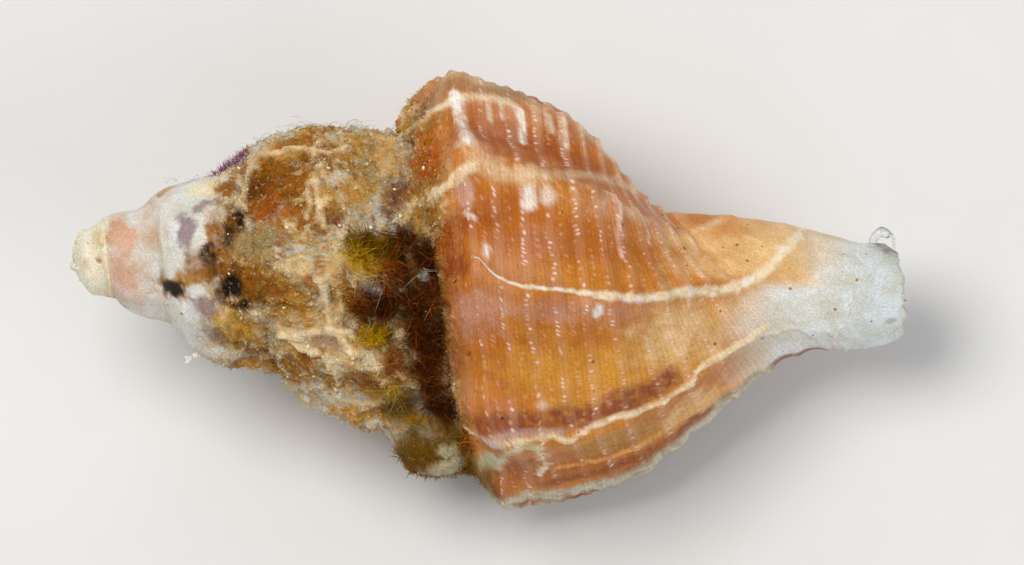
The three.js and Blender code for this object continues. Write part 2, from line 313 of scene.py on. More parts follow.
class Lattice:
    """The shell's vertices by row and column, and the faces between them."""

    def __init__(self):
        hidden = np.linspace(LIP_ANGLE - 360, HIDDEN_FROM, HIDDEN_ROWS + 1)[:-1]
        one_turn = np.concatenate([hidden, np.linspace(HIDDEN_FROM, LIP_ANGLE, SHOWN_ROWS + 1)[:-1]])
        self.per_turn = len(one_turn)
        self.angles = np.concatenate([one_turn + 360 * (t - TURNS + 1) for t in range(TURNS)] + [[LIP_ANGLE]])
        self.columns = np.concatenate(
            [[0.0]] + [k + np.arange(1, count + 1) / count for k, count in enumerate(COLUMN_COUNTS)]
        )
        self.lower = sum(COLUMN_COUNTS[:2])
        self.last_column = len(self.columns) - 1
        self.last_row = TURNS * self.per_turn
        self.body_row = self.last_row - self.per_turn
        deep = np.searchsorted(self.angles, DEEP_ANGLE)
        self.deep_row = int(deep + (deep - self.body_row) % 2)
        self.outer = np.full((self.last_row + 1, self.last_column + 1), -1)
        self.inner = np.full((self.last_row + 1, self.last_column + 1), -1)
        self.row_of, self.column_of, self.is_inner = [], [], []
        self.faces = []

    def new_points(self, grid, rows, columns, is_inner=False):
        for row in rows:
            for column in columns:
                if grid[row, column] < 0:
                    grid[row, column] = len(self.row_of)
                    self.row_of.append(row)
                    self.column_of.append(column)
                    self.is_inner.append(is_inner)

    def quads(self, grid, rows, columns, over=False):
        for a, b in zip(rows[:-1], rows[1:]):
            for c, d in zip(columns[:-1], columns[1:]):
                face = (grid[a, c], grid[b, c], grid[b, d], grid[a, d])
                self.faces.append(face[::-1] if over else face)

    def lay_out(self):
        turn, lower, last = self.per_turn, self.lower, self.last_column
        self.strands = [list(range(t * turn, (t + 1) * turn + 1, ROW_STRIDES[t])) for t in range(TURNS)]
        for rows in self.strands:
            self.new_points(self.outer, rows, range(lower))
        self.outer[: self.body_row + 1, lower] = self.outer[turn :, 0]
        self.new_points(self.outer, self.strands[-1][1:], range(lower, last + 1))
        self.new_points(self.outer, [self.body_row], range(lower + 1, last + 1))
        self.back_rows = list(range(self.deep_row - turn, self.body_row + 1, 2))
        self.back_columns = [lower + 1] + list(range(lower + 4, last + 1, 2))
        self.new_points(self.outer, self.back_rows, self.back_columns)
        self.wall_rows = list(range(self.deep_row, self.last_row + 1, 2))
        self.wall_columns = list(range(0, last + 1, 2))
        for row in self.wall_rows:
            self.inner[row, 0] = self.outer[row - turn, lower + 1]
        self.new_points(self.inner, self.wall_rows, self.wall_columns[1:], True)

    def join_whorls(self):
        turn, lower = self.per_turn, self.lower
        for t, rows in enumerate(self.strands):
            self.quads(self.outer, rows, list(range(lower)))
            if t == TURNS - 1:
                continue
            for a, b in zip(rows[:-1], rows[1:]):
                next_rows = list(range(a + turn, b + turn + 1, ROW_STRIDES[t + 1]))
                own_edge = [self.outer[a, lower - 1], self.outer[b, lower - 1]]
                next_edge = [self.outer[r, 0] for r in next_rows]
                next_at = [r - turn for r in next_rows]
                self.faces += turned_over(zip_rows(own_edge, next_edge, [a, b], next_at))
        self.quads(self.outer, self.strands[-1], list(range(lower - 1, self.last_column + 1)))

    def join_apex(self):
        first = self.strands[0]
        apex = len(self.row_of)
        self.row_of.append(0)
        self.column_of.append(0)
        self.is_inner.append(False)
        for a, b in zip(first[:-1], first[1:]):
            self.faces.append((self.outer[b, 0], self.outer[a, 0], apex))
        for c in range(self.lower):
            self.faces.append((self.outer[0, c], self.outer[0, c + 1], apex))
        self.apex = apex

    def join_aperture(self):
        back, last = self.back_rows, self.last_column
        self.quads(self.outer, back[:-1], self.back_columns)
        edge_columns = list(range(self.lower + 1, last + 1))
        self.faces += zip_rows(
            [self.outer[back[-2], c] for c in self.back_columns],
            [self.outer[back[-1], c] for c in edge_columns],
            [self.columns[c] for c in self.back_columns], [self.columns[c] for c in edge_columns],
        )
        self.quads(self.inner, self.wall_rows, self.wall_columns, over=True)
        every = list(range(last + 1))
        self.faces += zip_rows(
            [self.outer[self.last_row, c] for c in every],
            [self.inner[self.last_row, c] for c in self.wall_columns],
            [self.columns[c] for c in every], [self.columns[c] for c in self.wall_columns],
        )
        self.faces += turned_over(zip_rows(
            [self.outer[back[0], c] for c in self.back_columns],
            [self.inner[self.deep_row, c] for c in self.wall_columns],
            np.linspace(0, 1, len(self.back_columns)), np.linspace(0, 1, len(self.wall_columns)),
        ))

    def join_tip(self):
        last = self.last_column
        outside = list(range(self.deep_row, self.last_row + 1))
        self.faces += turned_over(zip_rows(
            [self.outer[r, last] for r in outside], [self.inner[r, last] for r in self.wall_rows],
            outside, self.wall_rows,
        ))
        middle = len(self.row_of)
        self.row_of.append(self.deep_row)
        self.column_of.append(last)
        self.is_inner.append(False)
        ring = [self.outer[r, last] for r in self.back_rows]
        ring += [self.outer[r, last] for r in range(self.body_row + 1, self.deep_row + 1)]
        ring += [self.inner[self.deep_row, last], self.outer[self.back_rows[0], last]]
        for a, b in zip(ring[:-1], ring[1:]):
            self.faces.append((a, b, middle))
        self.middle = middle

    def build(self):
        self.lay_out()
        self.join_whorls()
        self.join_apex()
        self.join_aperture()
        self.join_tip()
        self.rows = np.array(self.row_of)
        self.v = self.columns[np.array(self.column_of)]
        self.angle = self.angles[self.rows]
        self.inner_face = np.array(self.is_inner)
        return self


# Where the shell lies

class Bed:
    """Turns the coil into the row's frame: rolled, dipped and set inside the CAD solid's box."""

    def __init__(self, points):
        self.turn = np.array(Euler((math.radians(REST_ROLL), math.radians(REST_DIP), 0), "XYZ").to_matrix())
        turned = points @ self.turn.T
        low, high = turned.min(0), turned.max(0)
        cad_low, cad_high = np.array(CAD_LOW) / MM, np.array(CAD_HIGH) / MM
        self.shift = (cad_low + cad_high - low - high) / 2
        self.shift[2] = cad_high[2] - high[2]

    def lay(self, points):
        laid = points @ self.turn.T + self.shift
        laid[..., 2] = np.maximum(laid[..., 2], 0)
        return laid * MM

    def direction(self, vector):
        return Vector(self.turn @ np.asarray(vector, float))


@functools.cache
def bed():
    return Bed(rough_outline())


def rough_outline():
    """Points of the bare whorls, for where the shell lies."""
    angle = np.arange(LIP_ANGLE - TURNS * 360, LIP_ANGLE + 1, 3.0)
    v = np.linspace(0, 4, 41)
    body = angle[angle >= LIP_ANGLE - 360]
    spire = whorl(*np.meshgrid(angle, v[v <= 2])).reshape(-1, 3)
    return np.concatenate([spire, whorl(*np.meshgrid(body, v)).reshape(-1, 3)])


# The painter puts marks where the photograph shows them, on the surface that carries them

class Mark:
    """A soft patch of one finish, centred on a pixel, its half sizes in pixels."""

    def __init__(self, finish, across, down, wide, high, turn=0, share=1.0):
        self.finish, self.across, self.down = finish, across, down
        self.wide, self.high, self.turn, self.share = wide, high, turn, share


class Line:
    """A line of one finish through pixels, its half width in pixels and its height in millimetres."""

    def __init__(self, finish, width, raised, share, *pixels):
        self.finish, self.width, self.raised, self.share, self.pixels = finish, width, raised, share, pixels


class Painter:
    def __init__(self, points, normals):
        self.points, self.normals = points, normals
        self.across = APEX_ACROSS + points @ PHOTO_RIGHT / MM_PER_PIXEL
        self.down = APEX_DOWN + points @ PHOTO_DOWN / MM_PER_PIXEL
        self.shown = np.flatnonzero(normals[:, 2] > 0.02)
        self.ragged = cloud(points, 0.16, 3, 5)
        self.broken = cloud(points, 0.07, 4, 3)
        self.colour = np.ones((len(points), 3))

    def lift(self, across, down):
        """The shown point of the surface under a pixel: the nearest to the viewer of those close by."""
        away = (self.across[self.shown] - across) ** 2 + (self.down[self.shown] - down) ** 2
        close = self.shown[away < away.min() + 4]
        return close[np.argmax(self.points[close, 2])]

    def spot(self, mark, rough=0.5):
        centre = self.points[self.lift(mark.across, mark.down)]
        away = (self.points - centre) / MM_PER_PIXEL
        a, b = away @ PHOTO_RIGHT, away @ PHOTO_DOWN
        turn = math.radians(mark.turn)
        along_it = a * math.cos(turn) + b * math.sin(turn)
        across_it = b * math.cos(turn) - a * math.sin(turn)
        deep = away[:, 2] / (2.5 * max(mark.wide, mark.high))
        size = np.sqrt((along_it / mark.wide) ** 2 + (across_it / mark.high) ** 2 + deep ** 2)
        broad = max(mark.wide, mark.high) > BROAD_MARK and rough < 0.6
        near, far = (0.25, 1.5) if broad else (0.6, 1.25)
        mottled = 1 - 0.35 * broad * smooth(self.broken, -0.2, 0.5)
        return mark.share * mottled * (1 - smooth(size + rough * self.ragged, near, far))

    def stroke(self, line, soft=0.6, broken=0.0):
        corners = [self.points[self.lift(*pixel)] for pixel in line.pixels]
        nearest = np.full(len(self.points), 1e9)
        for a, b in zip(corners[:-1], corners[1:]):
            run = b - a
            share = np.clip((self.points - a) @ run / max(run @ run, 1e-9), 0, 1)
            nearest = np.minimum(nearest, np.linalg.norm(self.points - a - share[:, None] * run, axis=1))
        size = nearest / (line.width * MM_PER_PIXEL)
        gaps = 1 - broken * smooth(self.broken, -0.1, 0.45)
        return line.share * gaps * (1 - smooth(size + 0.5 * self.ragged, 1 - soft, 1 + soft))

    def beside(self, start, end, pixels, half_widths):
        """How far each point lies below a line through pixels, in half widths of the line."""
        across, down = np.array(pixels, float).T
        away = (self.down - np.interp(self.across, across, down)) / np.interp(self.across, *zip(*half_widths))
        seen = (self.across > start) & (self.across < end) & (self.points[:, 2] > 0)
        return np.where(seen, away, FAR_AWAY)

    def put(self, finish, share):
        self.colour = blend(self.colour, linear(getattr(colours(), finish)), np.clip(share, 0, 1))


def colours():
    return bpy.context.scene.kurtzia_colours


def sizes():
    return bpy.context.scene.kurtzia_sizes


# Marks on the body whorl
BODY_MARKS = (
    Mark("clay", 430, 100, 26, 24, -40, 0.95),
    Mark("clay", 500, 90, 60, 10, 12, 0.8),
    Mark("tan", 745, 255, 46, 20, -15, 0.75),
    Mark("cream", 712, 222, 20, 4, -24, 0.6),
    Mark("tan", 688, 262, 34, 18, 0, 0.5),
    Mark("slate", 887, 249, 18, 10, 15, 0.8),
    Mark("window", 884, 254, 4, 3, 0, 0.8),
    Mark("window", 893, 252, 4, 3, 0, 0.7),
    Mark("olive", 880, 245, 6, 2, 0, 0.5),
    Mark("window", 889, 322, 4, 3, 0, 0.5),
    Mark("pale_green", 900, 305, 4, 24, 0, 0.45),
    Mark("rust", 510, 142, 60, 18, 12, 0.6),
    Mark("rust", 580, 168, 30, 14, 35, 0.5),
    Mark("tan", 690, 240, 60, 12, 5, 0.5),
    Mark("amber", 600, 330, 50, 24, 0, 0.7),
    Mark("rust", 455, 228, 30, 18, -10, 0.7),
    Mark("rust", 452, 268, 16, 30, 0, 0.95),
    Mark("lilac_white", 464, 196, 8, 12, 0, 0.45),
    Mark("orange", 431, 160, 26, 20, -20, 0.95),
    Mark("orange", 505, 150, 24, 10, 5, 0.5),
    Mark("rust", 456, 350, 14, 40, 10, 0.5),
    Mark("gold", 545, 370, 50, 30, 0, 0.95),
    Mark("gold", 612, 372, 34, 28, -15, 0.8),
    Mark("gold", 590, 270, 60, 14, 0, 0.35),
    Mark("tan", 672, 335, 46, 36, -18, 0.8),
    Mark("lilac", 590, 310, 64, 13, 2, 0.55),
    Mark("lilac", 476, 312, 24, 24, -30, 0.8),
    Mark("lilac", 530, 310, 40, 10, 4, 0.45),
    Mark("lilac", 462, 190, 10, 13, 0, 0.8),
    Mark("lilac", 655, 220, 20, 24, 20, 0.4),
    Mark("lilac", 600, 205, 30, 12, 10, 0.35),
    Mark("plum", 397, 197, 12, 28, 10, 0.95),
    Mark("plum", 452, 404, 14, 18, -35, 0.85),
    Mark("pale_green", 491, 461, 12, 12, 50, 0.9),
    Mark("ochre", 615, 440, 60, 12, -16, 0.6),
    Mark("tan", 690, 408, 34, 11, -32, 0.75),
    Mark("chalk", 538, 476, 3, 2, 0, 1),
    Mark("chalk", 598, 311, 5, 7, 10, 0.9),
    Mark("chalk", 541, 407, 6, 6, 0, 0.35),
    Mark("chalk", 548, 197, 8, 9, 30, 0.6),
    Mark("chalk", 531, 199, 9, 13, 0, 0.95),
    Mark("chalk", 485, 252, 4, 7, 0, 0.9),
    Mark("lilac_white", 491, 442, 15, 8, -10, 0.9),
)

BODY_LINES = (
    Line("cream", 4, 0.0, 0.7, (404, 134), (414, 128), (428, 119), (442, 108), (455, 98), (480, 98),
         (513, 104)),
    Line("chalk", 5, 0.01, 1.0, (455, 94), (459, 118), (468, 141)),
    Line("chalk", 3.5, 0.01, 0.95, (519, 108), (523, 126), (521, 142)),
    Line("chalk", 2.5, 0.0, 0.6, (488, 104), (489, 120)),
    Line("chalk", 2.5, 0.0, 0.6, (502, 106), (503, 118)),
    Line("chalk", 3, 0.0, 0.6, (548, 117), (552, 132)),
    Line("chalk", 3, 0.0, 0.6, (563, 122), (566, 146)),
    Line("cream", 5, 0.02, 0.9, (399, 221), (412, 206), (425, 200), (436, 196), (451, 185), (463, 173),
         (472, 164)),
    Line("cream", 7, 0.0, 0.35, (472, 164), (500, 174), (530, 180), (565, 176), (600, 178), (635, 190)),
    Line("chalk", 2.5, 0.0, 0.9, (465, 212), (474, 218)),
    Line("wine", 12, 0.0, 0.95, (482, 426), (520, 424), (550, 420), (580, 416), (610, 406), (640, 394),
         (668, 379)),
    Line("lilac_white", 4, 0.0, 0.45, (484, 438), (500, 436), (530, 432), (560, 430)),
    Line("bead", 2.4, 0.015, 0.85, (604, 193), (612, 198), (618, 206), (615, 222), (618, 240), (622, 257)),
    Line("bead", 2.2, 0.015, 0.8, (634, 211), (641, 218), (645, 232), (648, 243)),
    Line("bead", 2.2, 0.01, 0.7, (683, 232), (691, 240), (694, 252)),
    Line("cream", 1.8, 0.02, 0.8, (440, 399), (447, 411), (457, 422), (468, 430), (478, 436)),
    Line("rust", 8, 0.0, 0.7, (514, 470), (521, 462), (530, 462)),
    Line("pale_green", 4, 0.012, 0.9, (486, 462), (496, 468), (504, 460), (509, 451), (517, 446),
         (528, 444), (540, 447)),
    Line("cream", 3.4, 0.012, 0.75, (536, 449), (543, 456), (545, 466), (541, 474)),
    Line("cream", 2.6, 0.025, 0.9, (497, 442), (530, 437), (552, 434), (566, 440), (585, 429), (600, 422),
         (619, 415),
         (639, 410), (657, 400), (675, 390), (688, 382), (696, 370), (715, 357), (740, 343), (765, 328)),
    Line("apricot", 4.5, 0.012, 0.75, (560, 468), (605, 459), (624, 452), (649, 440), (675, 422),
         (700, 404), (740, 380)),
    Line("wine", 6, 0.0, 0.8, (545, 484), (590, 474), (619, 465), (650, 451), (675, 435), (695, 418),
         (708, 409)),
    Line("lip_grey", 9, 0.02, 1.0, (508, 500), (545, 496), (598, 485), (631, 472), (652, 462), (672, 448),
         (688, 435),
         (702, 425), (715, 411), (735, 398), (765, 374)),
)

# The sharp crest along the fourth rib, with its half width in pixels along it, and an old edge of the canal
CREST = (
    (480, 258), (488, 270), (498, 278), (512, 284), (525, 287), (545, 289), (570, 291), (590, 294),
    (612, 297), (635, 299), (660, 297), (681, 293), (705, 292), (725, 290), (745, 284), (762, 273),
    (776, 259), (788, 247), (798, 236), (804, 232),
)
CREST_WIDTHS = (
    (474, 0.8), (500, 1.8), (565, 2.4), (600, 4.2), (705, 4.8), (745, 6.0), (776, 9.0), (804, 6.0),
)
CREST_FROM = 474
CREST_TO = 806
FAR_AWAY = 9.0
CANAL_PATCH = Mark("slate", 887, 246, 20, 9, 25, 1.0)
OLD_EDGE = ((240, 859), (256, 861), (272, 858), (294, 853), (309, 846), (322, 840), (345, 834))

# Marks on the spire
SPIRE_MARKS = (
    Mark("rose", 119, 236, 13, 17, 0, 0.9),
    Mark("rose", 122, 280, 11, 20, -15, 0.6),
    Mark("ochre", 86, 264, 6, 5, 0, 0.35),
    Mark("umber", 160, 192, 7, 4, -35, 0.8),
    Mark("ochre", 168, 187, 9, 5, -30, 0.7),
    Mark("umber", 102, 244, 2.5, 4, 0, 0.9),
    Mark("umber", 98, 260, 3, 3.5, 0, 0.9),
    Mark("ochre", 98, 238, 7, 8, 30, 0.4),
    Mark("cream", 205, 191, 15, 9, 0, 0.7),
    Mark("window", 185, 231, 13, 20, -12, 0.95),
    Mark("window", 201, 208, 17, 6, -30, 0.8),
    Mark("lilac", 214, 213, 10, 7, 20, 0.6),
    Mark("umber", 229, 190, 9, 11, 0, 0.95),
    Mark("ochre", 185, 281, 18, 9, 0, 0.8),
    Mark("umber", 196, 276, 12, 8, 0, 0.7),
    Mark("soot", 175, 290, 11, 9, 10, 1.0),
    Mark("umber", 212, 236, 7, 16, 10, 0.9),
    Mark("soot", 212, 257, 10, 15, 0, 1.0),
    Mark("slate", 222, 236, 9, 11, 0, 0.7),
    Mark("soot", 237, 222, 10, 18, 25, 1.0),
    Mark("soot", 229, 238, 7, 12, 10, 0.8),
    Mark("soot", 219, 271, 10, 10, 0, 0.9),
    Mark("umber", 237, 275, 18, 12, 0, 0.9),
    Mark("bark", 226, 284, 13, 14, 20, 1.0),
    Mark("soot", 236, 276, 10, 9, 0, 0.9),
    Mark("soot", 233, 292, 18, 17, 40, 1.0),
    Mark("soot", 243, 303, 14, 7, 0, 0.95),
    Mark("umber", 252, 272, 6, 14, 0, 0.8),
    Mark("umber", 250, 285, 9, 14, 0, 0.8),
    Mark("window", 207, 306, 16, 14, 0, 0.9),
    Mark("window", 218, 334, 18, 10, 15, 0.5),
    Mark("bone", 188, 320, 12, 16, -30, 0.7),
    Mark("ochre", 236, 326, 22, 15, 20, 0.85),
    Mark("bone", 226, 355, 28, 6, 5, 0.9),
    Mark("umber", 275, 184, 38, 30, -15, 1.0),
    Mark("umber", 258, 212, 18, 14, -40, 0.9),
    Mark("bark", 262, 186, 12, 14, 30, 0.45),
    Mark("orange", 280, 212, 24, 11, 0, 0.55),
    Mark("khaki", 258, 246, 24, 20, 0, 0.9),
    Mark("khaki", 296, 262, 20, 14, 0, 0.6),
    Mark("cream", 302, 268, 24, 9, 5, 0.9),
    Mark("cream", 318, 340, 30, 8, 15, 0.7),
    Mark("cream", 345, 362, 12, 14, 0, 0.5),
    Mark("cream", 340, 250, 12, 26, 0, 0.5),
    Mark("umber", 284, 240, 7, 14, 10, 0.6),
    Mark("umber", 290, 298, 30, 18, 0, 0.75),
    Mark("ochre", 305, 312, 22, 20, 0, 0.6),
    Mark("umber", 334, 216, 11, 15, 0, 0.9),
    Mark("plum", 336, 219, 8, 12, 0, 0.6),
    Mark("umber", 331, 150, 10, 7, 0, 0.6),
    Mark("window", 328, 341, 17, 8, 10, 0.7),
    Mark("umber", 310, 365, 22, 12, 20, 0.6),
    Mark("umber", 362, 380, 16, 13, 0, 0.75),
    Mark("ochre", 345, 300, 13, 18, 0, 0.7),
    Mark("bone", 345, 398, 40, 8, 18, 0.7),
    Mark("khaki", 372, 165, 26, 30, 0, 0.6),
    Mark("tan", 386, 158, 12, 22, 0, 0.6),
    Mark("umber", 356, 150, 4, 10, 0, 0.6),
    Mark("ochre", 352, 192, 20, 24, 0, 0.5),
    Mark("umber", 440, 348, 10, 44, 6, 0.95),
    Mark("umber", 366, 306, 16, 14, 0, 0.9),
)

SPIRE_LINES = (
    Line("bone", 3, 0.02, 0.8, (163, 205), (161, 225), (165, 250), (167, 272)),
    Line("cream", 3, 0.02, 0.8, (104, 221), (102, 240), (105, 260), (110, 280), (113, 297)),
    Line("cream", 4, 0.03, 0.8, (262, 148), (252, 165), (246, 185), (240, 205)),
    Line("cream", 3, 0.04, 0.9, (316, 150), (322, 168), (317, 185), (321, 205), (325, 228)),
    Line("cream", 3, 0.03, 0.8, (255, 157), (280, 152), (305, 148), (330, 152), (350, 148)),
    Line("cream", 2, 0.03, 0.8, (307, 183), (311, 200), (308, 218)),
    Line("cream", 3.5, 0.04, 0.95, (318, 262), (322, 285), (327, 305), (332, 325), (345, 338), (352, 355)),
    Line("cream", 4, 0.04, 0.95, (284, 331), (300, 338), (315, 331), (335, 329), (352, 334)),
    Line("cream", 3, 0.04, 0.9, (286, 335), (303, 350), (320, 352), (335, 366), (338, 384)),
    Line("cream", 3, 0.03, 0.8, (352, 352), (372, 352), (380, 368), (385, 385)),
    Line("cream", 2.5, 0.03, 0.7, (318, 372), (325, 388), (345, 400), (375, 402)),
    Line("cream", 2.5, 0.03, 0.7, (341, 290), (343, 305), (338, 318)),
    Line("cream", 3, 0.03, 0.7, (290, 262), (305, 255), (318, 262)),
)

# Where the weed grows: over the body whorl's suture and on the lump beside the lip
WEED_MARKS = (
    Mark("bark", 420, 306, 17, 30, 0, 1.0),
    Mark("bark", 424, 262, 17, 22, 0, 1.0),
    Mark("bark", 404, 240, 16, 14, -15, 1.0),
    Mark("bark", 426, 358, 16, 24, 10, 1.0),
    Mark("bark", 433, 382, 11, 20, -10, 1.0),
    Mark("bark", 420, 335, 16, 22, 10, 1.0),
    Mark("bark", 438, 340, 9, 40, 6, 1.0),
    Mark("bark", 366, 308, 14, 11, 10, 0.9),
    Mark("bark", 438, 404, 10, 26, -35, 1.0),
    Mark("bark", 457, 427, 8, 12, -45, 1.0),
    Mark("amber_weed", 468, 440, 10, 10, 0, 0.9),
    Mark("bark", 386, 300, 24, 22, 0, 1.0),
    Mark("bark", 398, 270, 20, 20, 0, 1.0),
    Mark("amber_weed", 390, 276, 12, 14, 20, 0.8),
    Mark("amber_weed", 436, 300, 7, 16, 0, 0.7),
    Mark("amber_weed", 360, 300, 10, 12, 0, 0.8),
    Mark("olive", 366, 252, 24, 18, 0, 1.0),
    Mark("mustard", 358, 264, 22, 12, 15, 1.0),
    Mark("olive", 380, 338, 24, 14, 0, 1.0),
    Mark("mustard", 374, 337, 15, 11, 0, 1.0),
    Mark("amber_weed", 396, 362, 8, 14, 10, 0.9),
    Mark("mustard", 394, 383, 7, 11, 0, 0.9),
    Mark("olive", 396, 400, 18, 8, -10, 0.8),
    Mark("olive", 400, 410, 26, 8, 8, 0.8),
    Mark("mustard", 418, 416, 20, 5, 5, 0.85),
    Mark("olive", 430, 438, 26, 16, 10, 1.0),
    Mark("bark", 416, 436, 12, 7, 20, 0.6),
)

# Patches that the weed leaves bare
BARE_MARKS = (
    Mark("cream", 399, 335, 6, 9, 20, 0.9),
    Mark("bone", 423, 278, 5, 5, 0, 0.6),
    Mark("lip_grey", 448, 465, 22, 8, -6, 0.95),
    Mark("pale_green", 450, 450, 13, 7, 0, 0.7),
    Mark("olive", 421, 466, 8, 6, 0, 0.8),
    Mark("bark", 468, 469, 5, 3, 0, 0.6),
)

# Loose pale fibres along the upper edge of the spire: paths, and patches with a place, a reach and a count
FIBRES = (
    ((345, 127), (350, 121), (357, 120), (362, 125), (358, 132), (350, 134), (343, 131)),
    ((352, 136), (362, 130), (372, 133), (378, 139), (370, 143), (362, 140)),
    ((340, 132), (352, 125), (366, 127), (377, 134), (386, 138)),
    ((380, 141), (386, 134), (391, 130), (395, 124)),
    ((295, 131), (308, 124), (322, 126), (336, 131), (348, 137)),
    ((258, 148), (262, 141), (267, 137), (272, 139)),
    ((262, 150), (259, 142), (263, 135), (270, 133)),
    ((233, 168), (243, 163), (252, 160)),
    ((190, 183), (194, 177), (199, 175)),
)
FIBRE_PATCHES = (
    (266, 143, 10, 10), (310, 130, 22, 16), (345, 134, 25, 24), (378, 139, 18, 14), (188, 181, 14, 6),
)

# The white twig with its forked end, and the clear grain on the canal: paths with radii in millimetres
TWIG = (
    (((206, 349), (200, 353), (194, 356), (188, 359)), (0.03, 0.022, 0.02)),
    (((192, 357), (188, 358), (185, 357)), (0.02, 0.016, 0.008)),
    (((192, 357), (188, 361), (186, 363)), (0.02, 0.016, 0.01)),
)
CLEAR_GRAIN = (
    (((871, 247), (874, 238), (882, 232), (890, 236)), (0.022, 0.042, 0.052, 0.034)),
    (((888, 234), (893, 238), (894, 250)), (0.03, 0.016, 0.014)),
)
TUFT_LINE = ((212, 184), (222, 177), (232, 169), (240, 164), (248, 159))

LUMP_X, LUMP_ANGLE, LUMP_RADIUS, LUMP_HALF_LENGTH, LUMP_HALF_ANGLE = 3.62, 180, 1.93, 0.47, 19


def colour(name, description, picked):
    return FloatVectorProperty(
        name=name, description=description, subtype="COLOR_GAMMA", size=3, min=0, max=1, default=picked
    )


class KurtziaColours(PropertyGroup):
    """Finishes of the shell and of what grows on it, as they look on screen"""

    amber: colour("Amber", "Body whorl between its ribs", (0.75, 0.46, 0.14))
    # Rust also paints the shade in the hollows between the upper ribs.
    rust: colour("Rust", "Deep red-orange between the upper ribs", (0.58, 0.25, 0.0))
    orange: colour("Orange", "Brightest orange under the suture", (0.70, 0.36, 0.01))
    gold: colour("Gold", "Yellow band before the last rib", (0.81, 0.56, 0.18))
    tan: colour("Tan", "Pale slope towards the canal", (0.91, 0.77, 0.55))
    bone: colour("Bone", "Greyish white of the canal and worn edges", (0.84, 0.845, 0.82))
    # Cream also paints the highlight on the crests of the early ribs.
    cream: colour("Cream", "Crests and wrinkles", (0.93, 0.87, 0.73))
    chalk: colour("Chalk", "White worn spots and beads", (0.93, 0.90, 0.86))
    lilac: colour("Lilac", "Pinkish bloom over the amber", (0.76, 0.56, 0.48))
    lilac_white: colour("Lilac white", "Granular spot over the notch", (0.85, 0.76, 0.76))
    plum: colour("Plum", "Purple-brown under the suture", (0.45, 0.29, 0.24))
    wine: colour("Wine", "Red-purple bands along the last rib and the lip", (0.53, 0.26, 0.13))
    apricot: colour("Apricot", "Ridge along the lip", (0.93, 0.66, 0.34))
    pale_green: colour("Pale green", "Film round the notch", (0.78, 0.79, 0.66))
    mist: colour("Mist", "Cool translucent grey of the canal", (0.80, 0.83, 0.83))
    bead: colour("Bead", "Soft pinkish beads of the spiral rows", (0.93, 0.80, 0.72))
    fibre: colour("Fibre", "Loose fibres", (0.80, 0.82, 0.82))
    amber_weed: colour("Amber weed", "Orange-brown strands in the weed", (0.55, 0.28, 0.02))
    clay: colour("Clay", "Brownish edge behind the first rib", (0.60, 0.47, 0.32))
    lip_grey: colour("Lip grey", "Worn edge of the lip", (0.74, 0.73, 0.64))
    rose: colour("Rose", "First whorl", (0.82, 0.64, 0.53))
    window: colour("Window", "Thin purple-grey spots of the spire", (0.56, 0.48, 0.48))
    ochre: colour("Ochre", "Yellow-brown crust", (0.74, 0.58, 0.22))
    umber: colour("Umber", "Brown-orange crust", (0.59, 0.38, 0.06))
    khaki: colour("Khaki", "Grey-green crust", (0.71, 0.65, 0.47))
    soot: colour("Soot", "Black-brown crust", (0.13, 0.10, 0.06))
    bark: colour("Bark", "Dark brown weed", (0.27, 0.12, 0.0))
    olive: colour("Olive", "Yellow-green weed", (0.43, 0.32, 0.0))
    mustard: colour("Mustard", "Bright yellow fringe of the weed", (0.76, 0.60, 0.04))
    slate: colour("Slate", "Grey rough patch on the canal", (0.66, 0.67, 0.66))
    magenta: colour("Magenta", "Tuft on the spire", (0.64, 0.30, 0.64))
    inside: colour("Inside", "Glossy inner wall", (0.83, 0.66, 0.47))


class KurtziaSizes(PropertyGroup):
    """Sizes of the relief and of the small growths"""

    cord_height: FloatProperty(
        name="Cord height", description="Height of the strongest spiral cords", default=0.04 * MM,
        min=0, max=0.1 * MM, unit="LENGTH", precision=6,
    )
    crust_height: FloatProperty(
        name="Crust height", description="Height of the wrinkled crust on the spire", default=0.05 * MM,
        min=0, max=0.2 * MM, unit="LENGTH", precision=6,
    )
    beads_per_turn: IntProperty(
        name="Beads per turn", description="Small beads on a spiral cord, round one turn",
        default=212, min=40, max=400,
    )
    weed_hairs: IntProperty(
        name="Weed hairs", description="Strands of the weed", default=7600, min=1, max=8000
    )
    felt_hairs: IntProperty(
        name="Felt hairs", description="Short hairs of the felt", default=15000, min=1, max=18000
    )
    crumbs: IntProperty(name="Crumbs", description="Small crumbs in the crust", default=2400, min=4, max=4000)


# The shell

def near_cavity(lattice):
    """Vertices of the columella and of the wall behind the aperture, inside the shell."""
    return (lattice.rows < lattice.body_row) & (lattice.v > 2)


def with_lump(row_angle, v, points):
    """The lump of weed-covered dirt that fills the corner between the spire and the lip."""
    radius = np.hypot(points[:, 1], points[:, 2])
    angle = np.degrees(np.arctan2(points[:, 2], points[:, 1]))
    away = (angle - LUMP_ANGLE + 180) % 360 - 180
    lump = np.exp(-(((points[:, 0] - LUMP_X) / LUMP_HALF_LENGTH) ** 6) - (away / LUMP_HALF_ANGLE) ** 4)
    carries = np.where(row_angle > LIP_ANGLE - 360, v <= 1, v <= 2)
    grow = lump * carries * np.maximum(LUMP_RADIUS - radius, 0) / np.maximum(radius, 1e-6)
    moved = points.copy()
    moved[:, 1:] *= 1 + grow[:, None]
    return moved, lump * carries


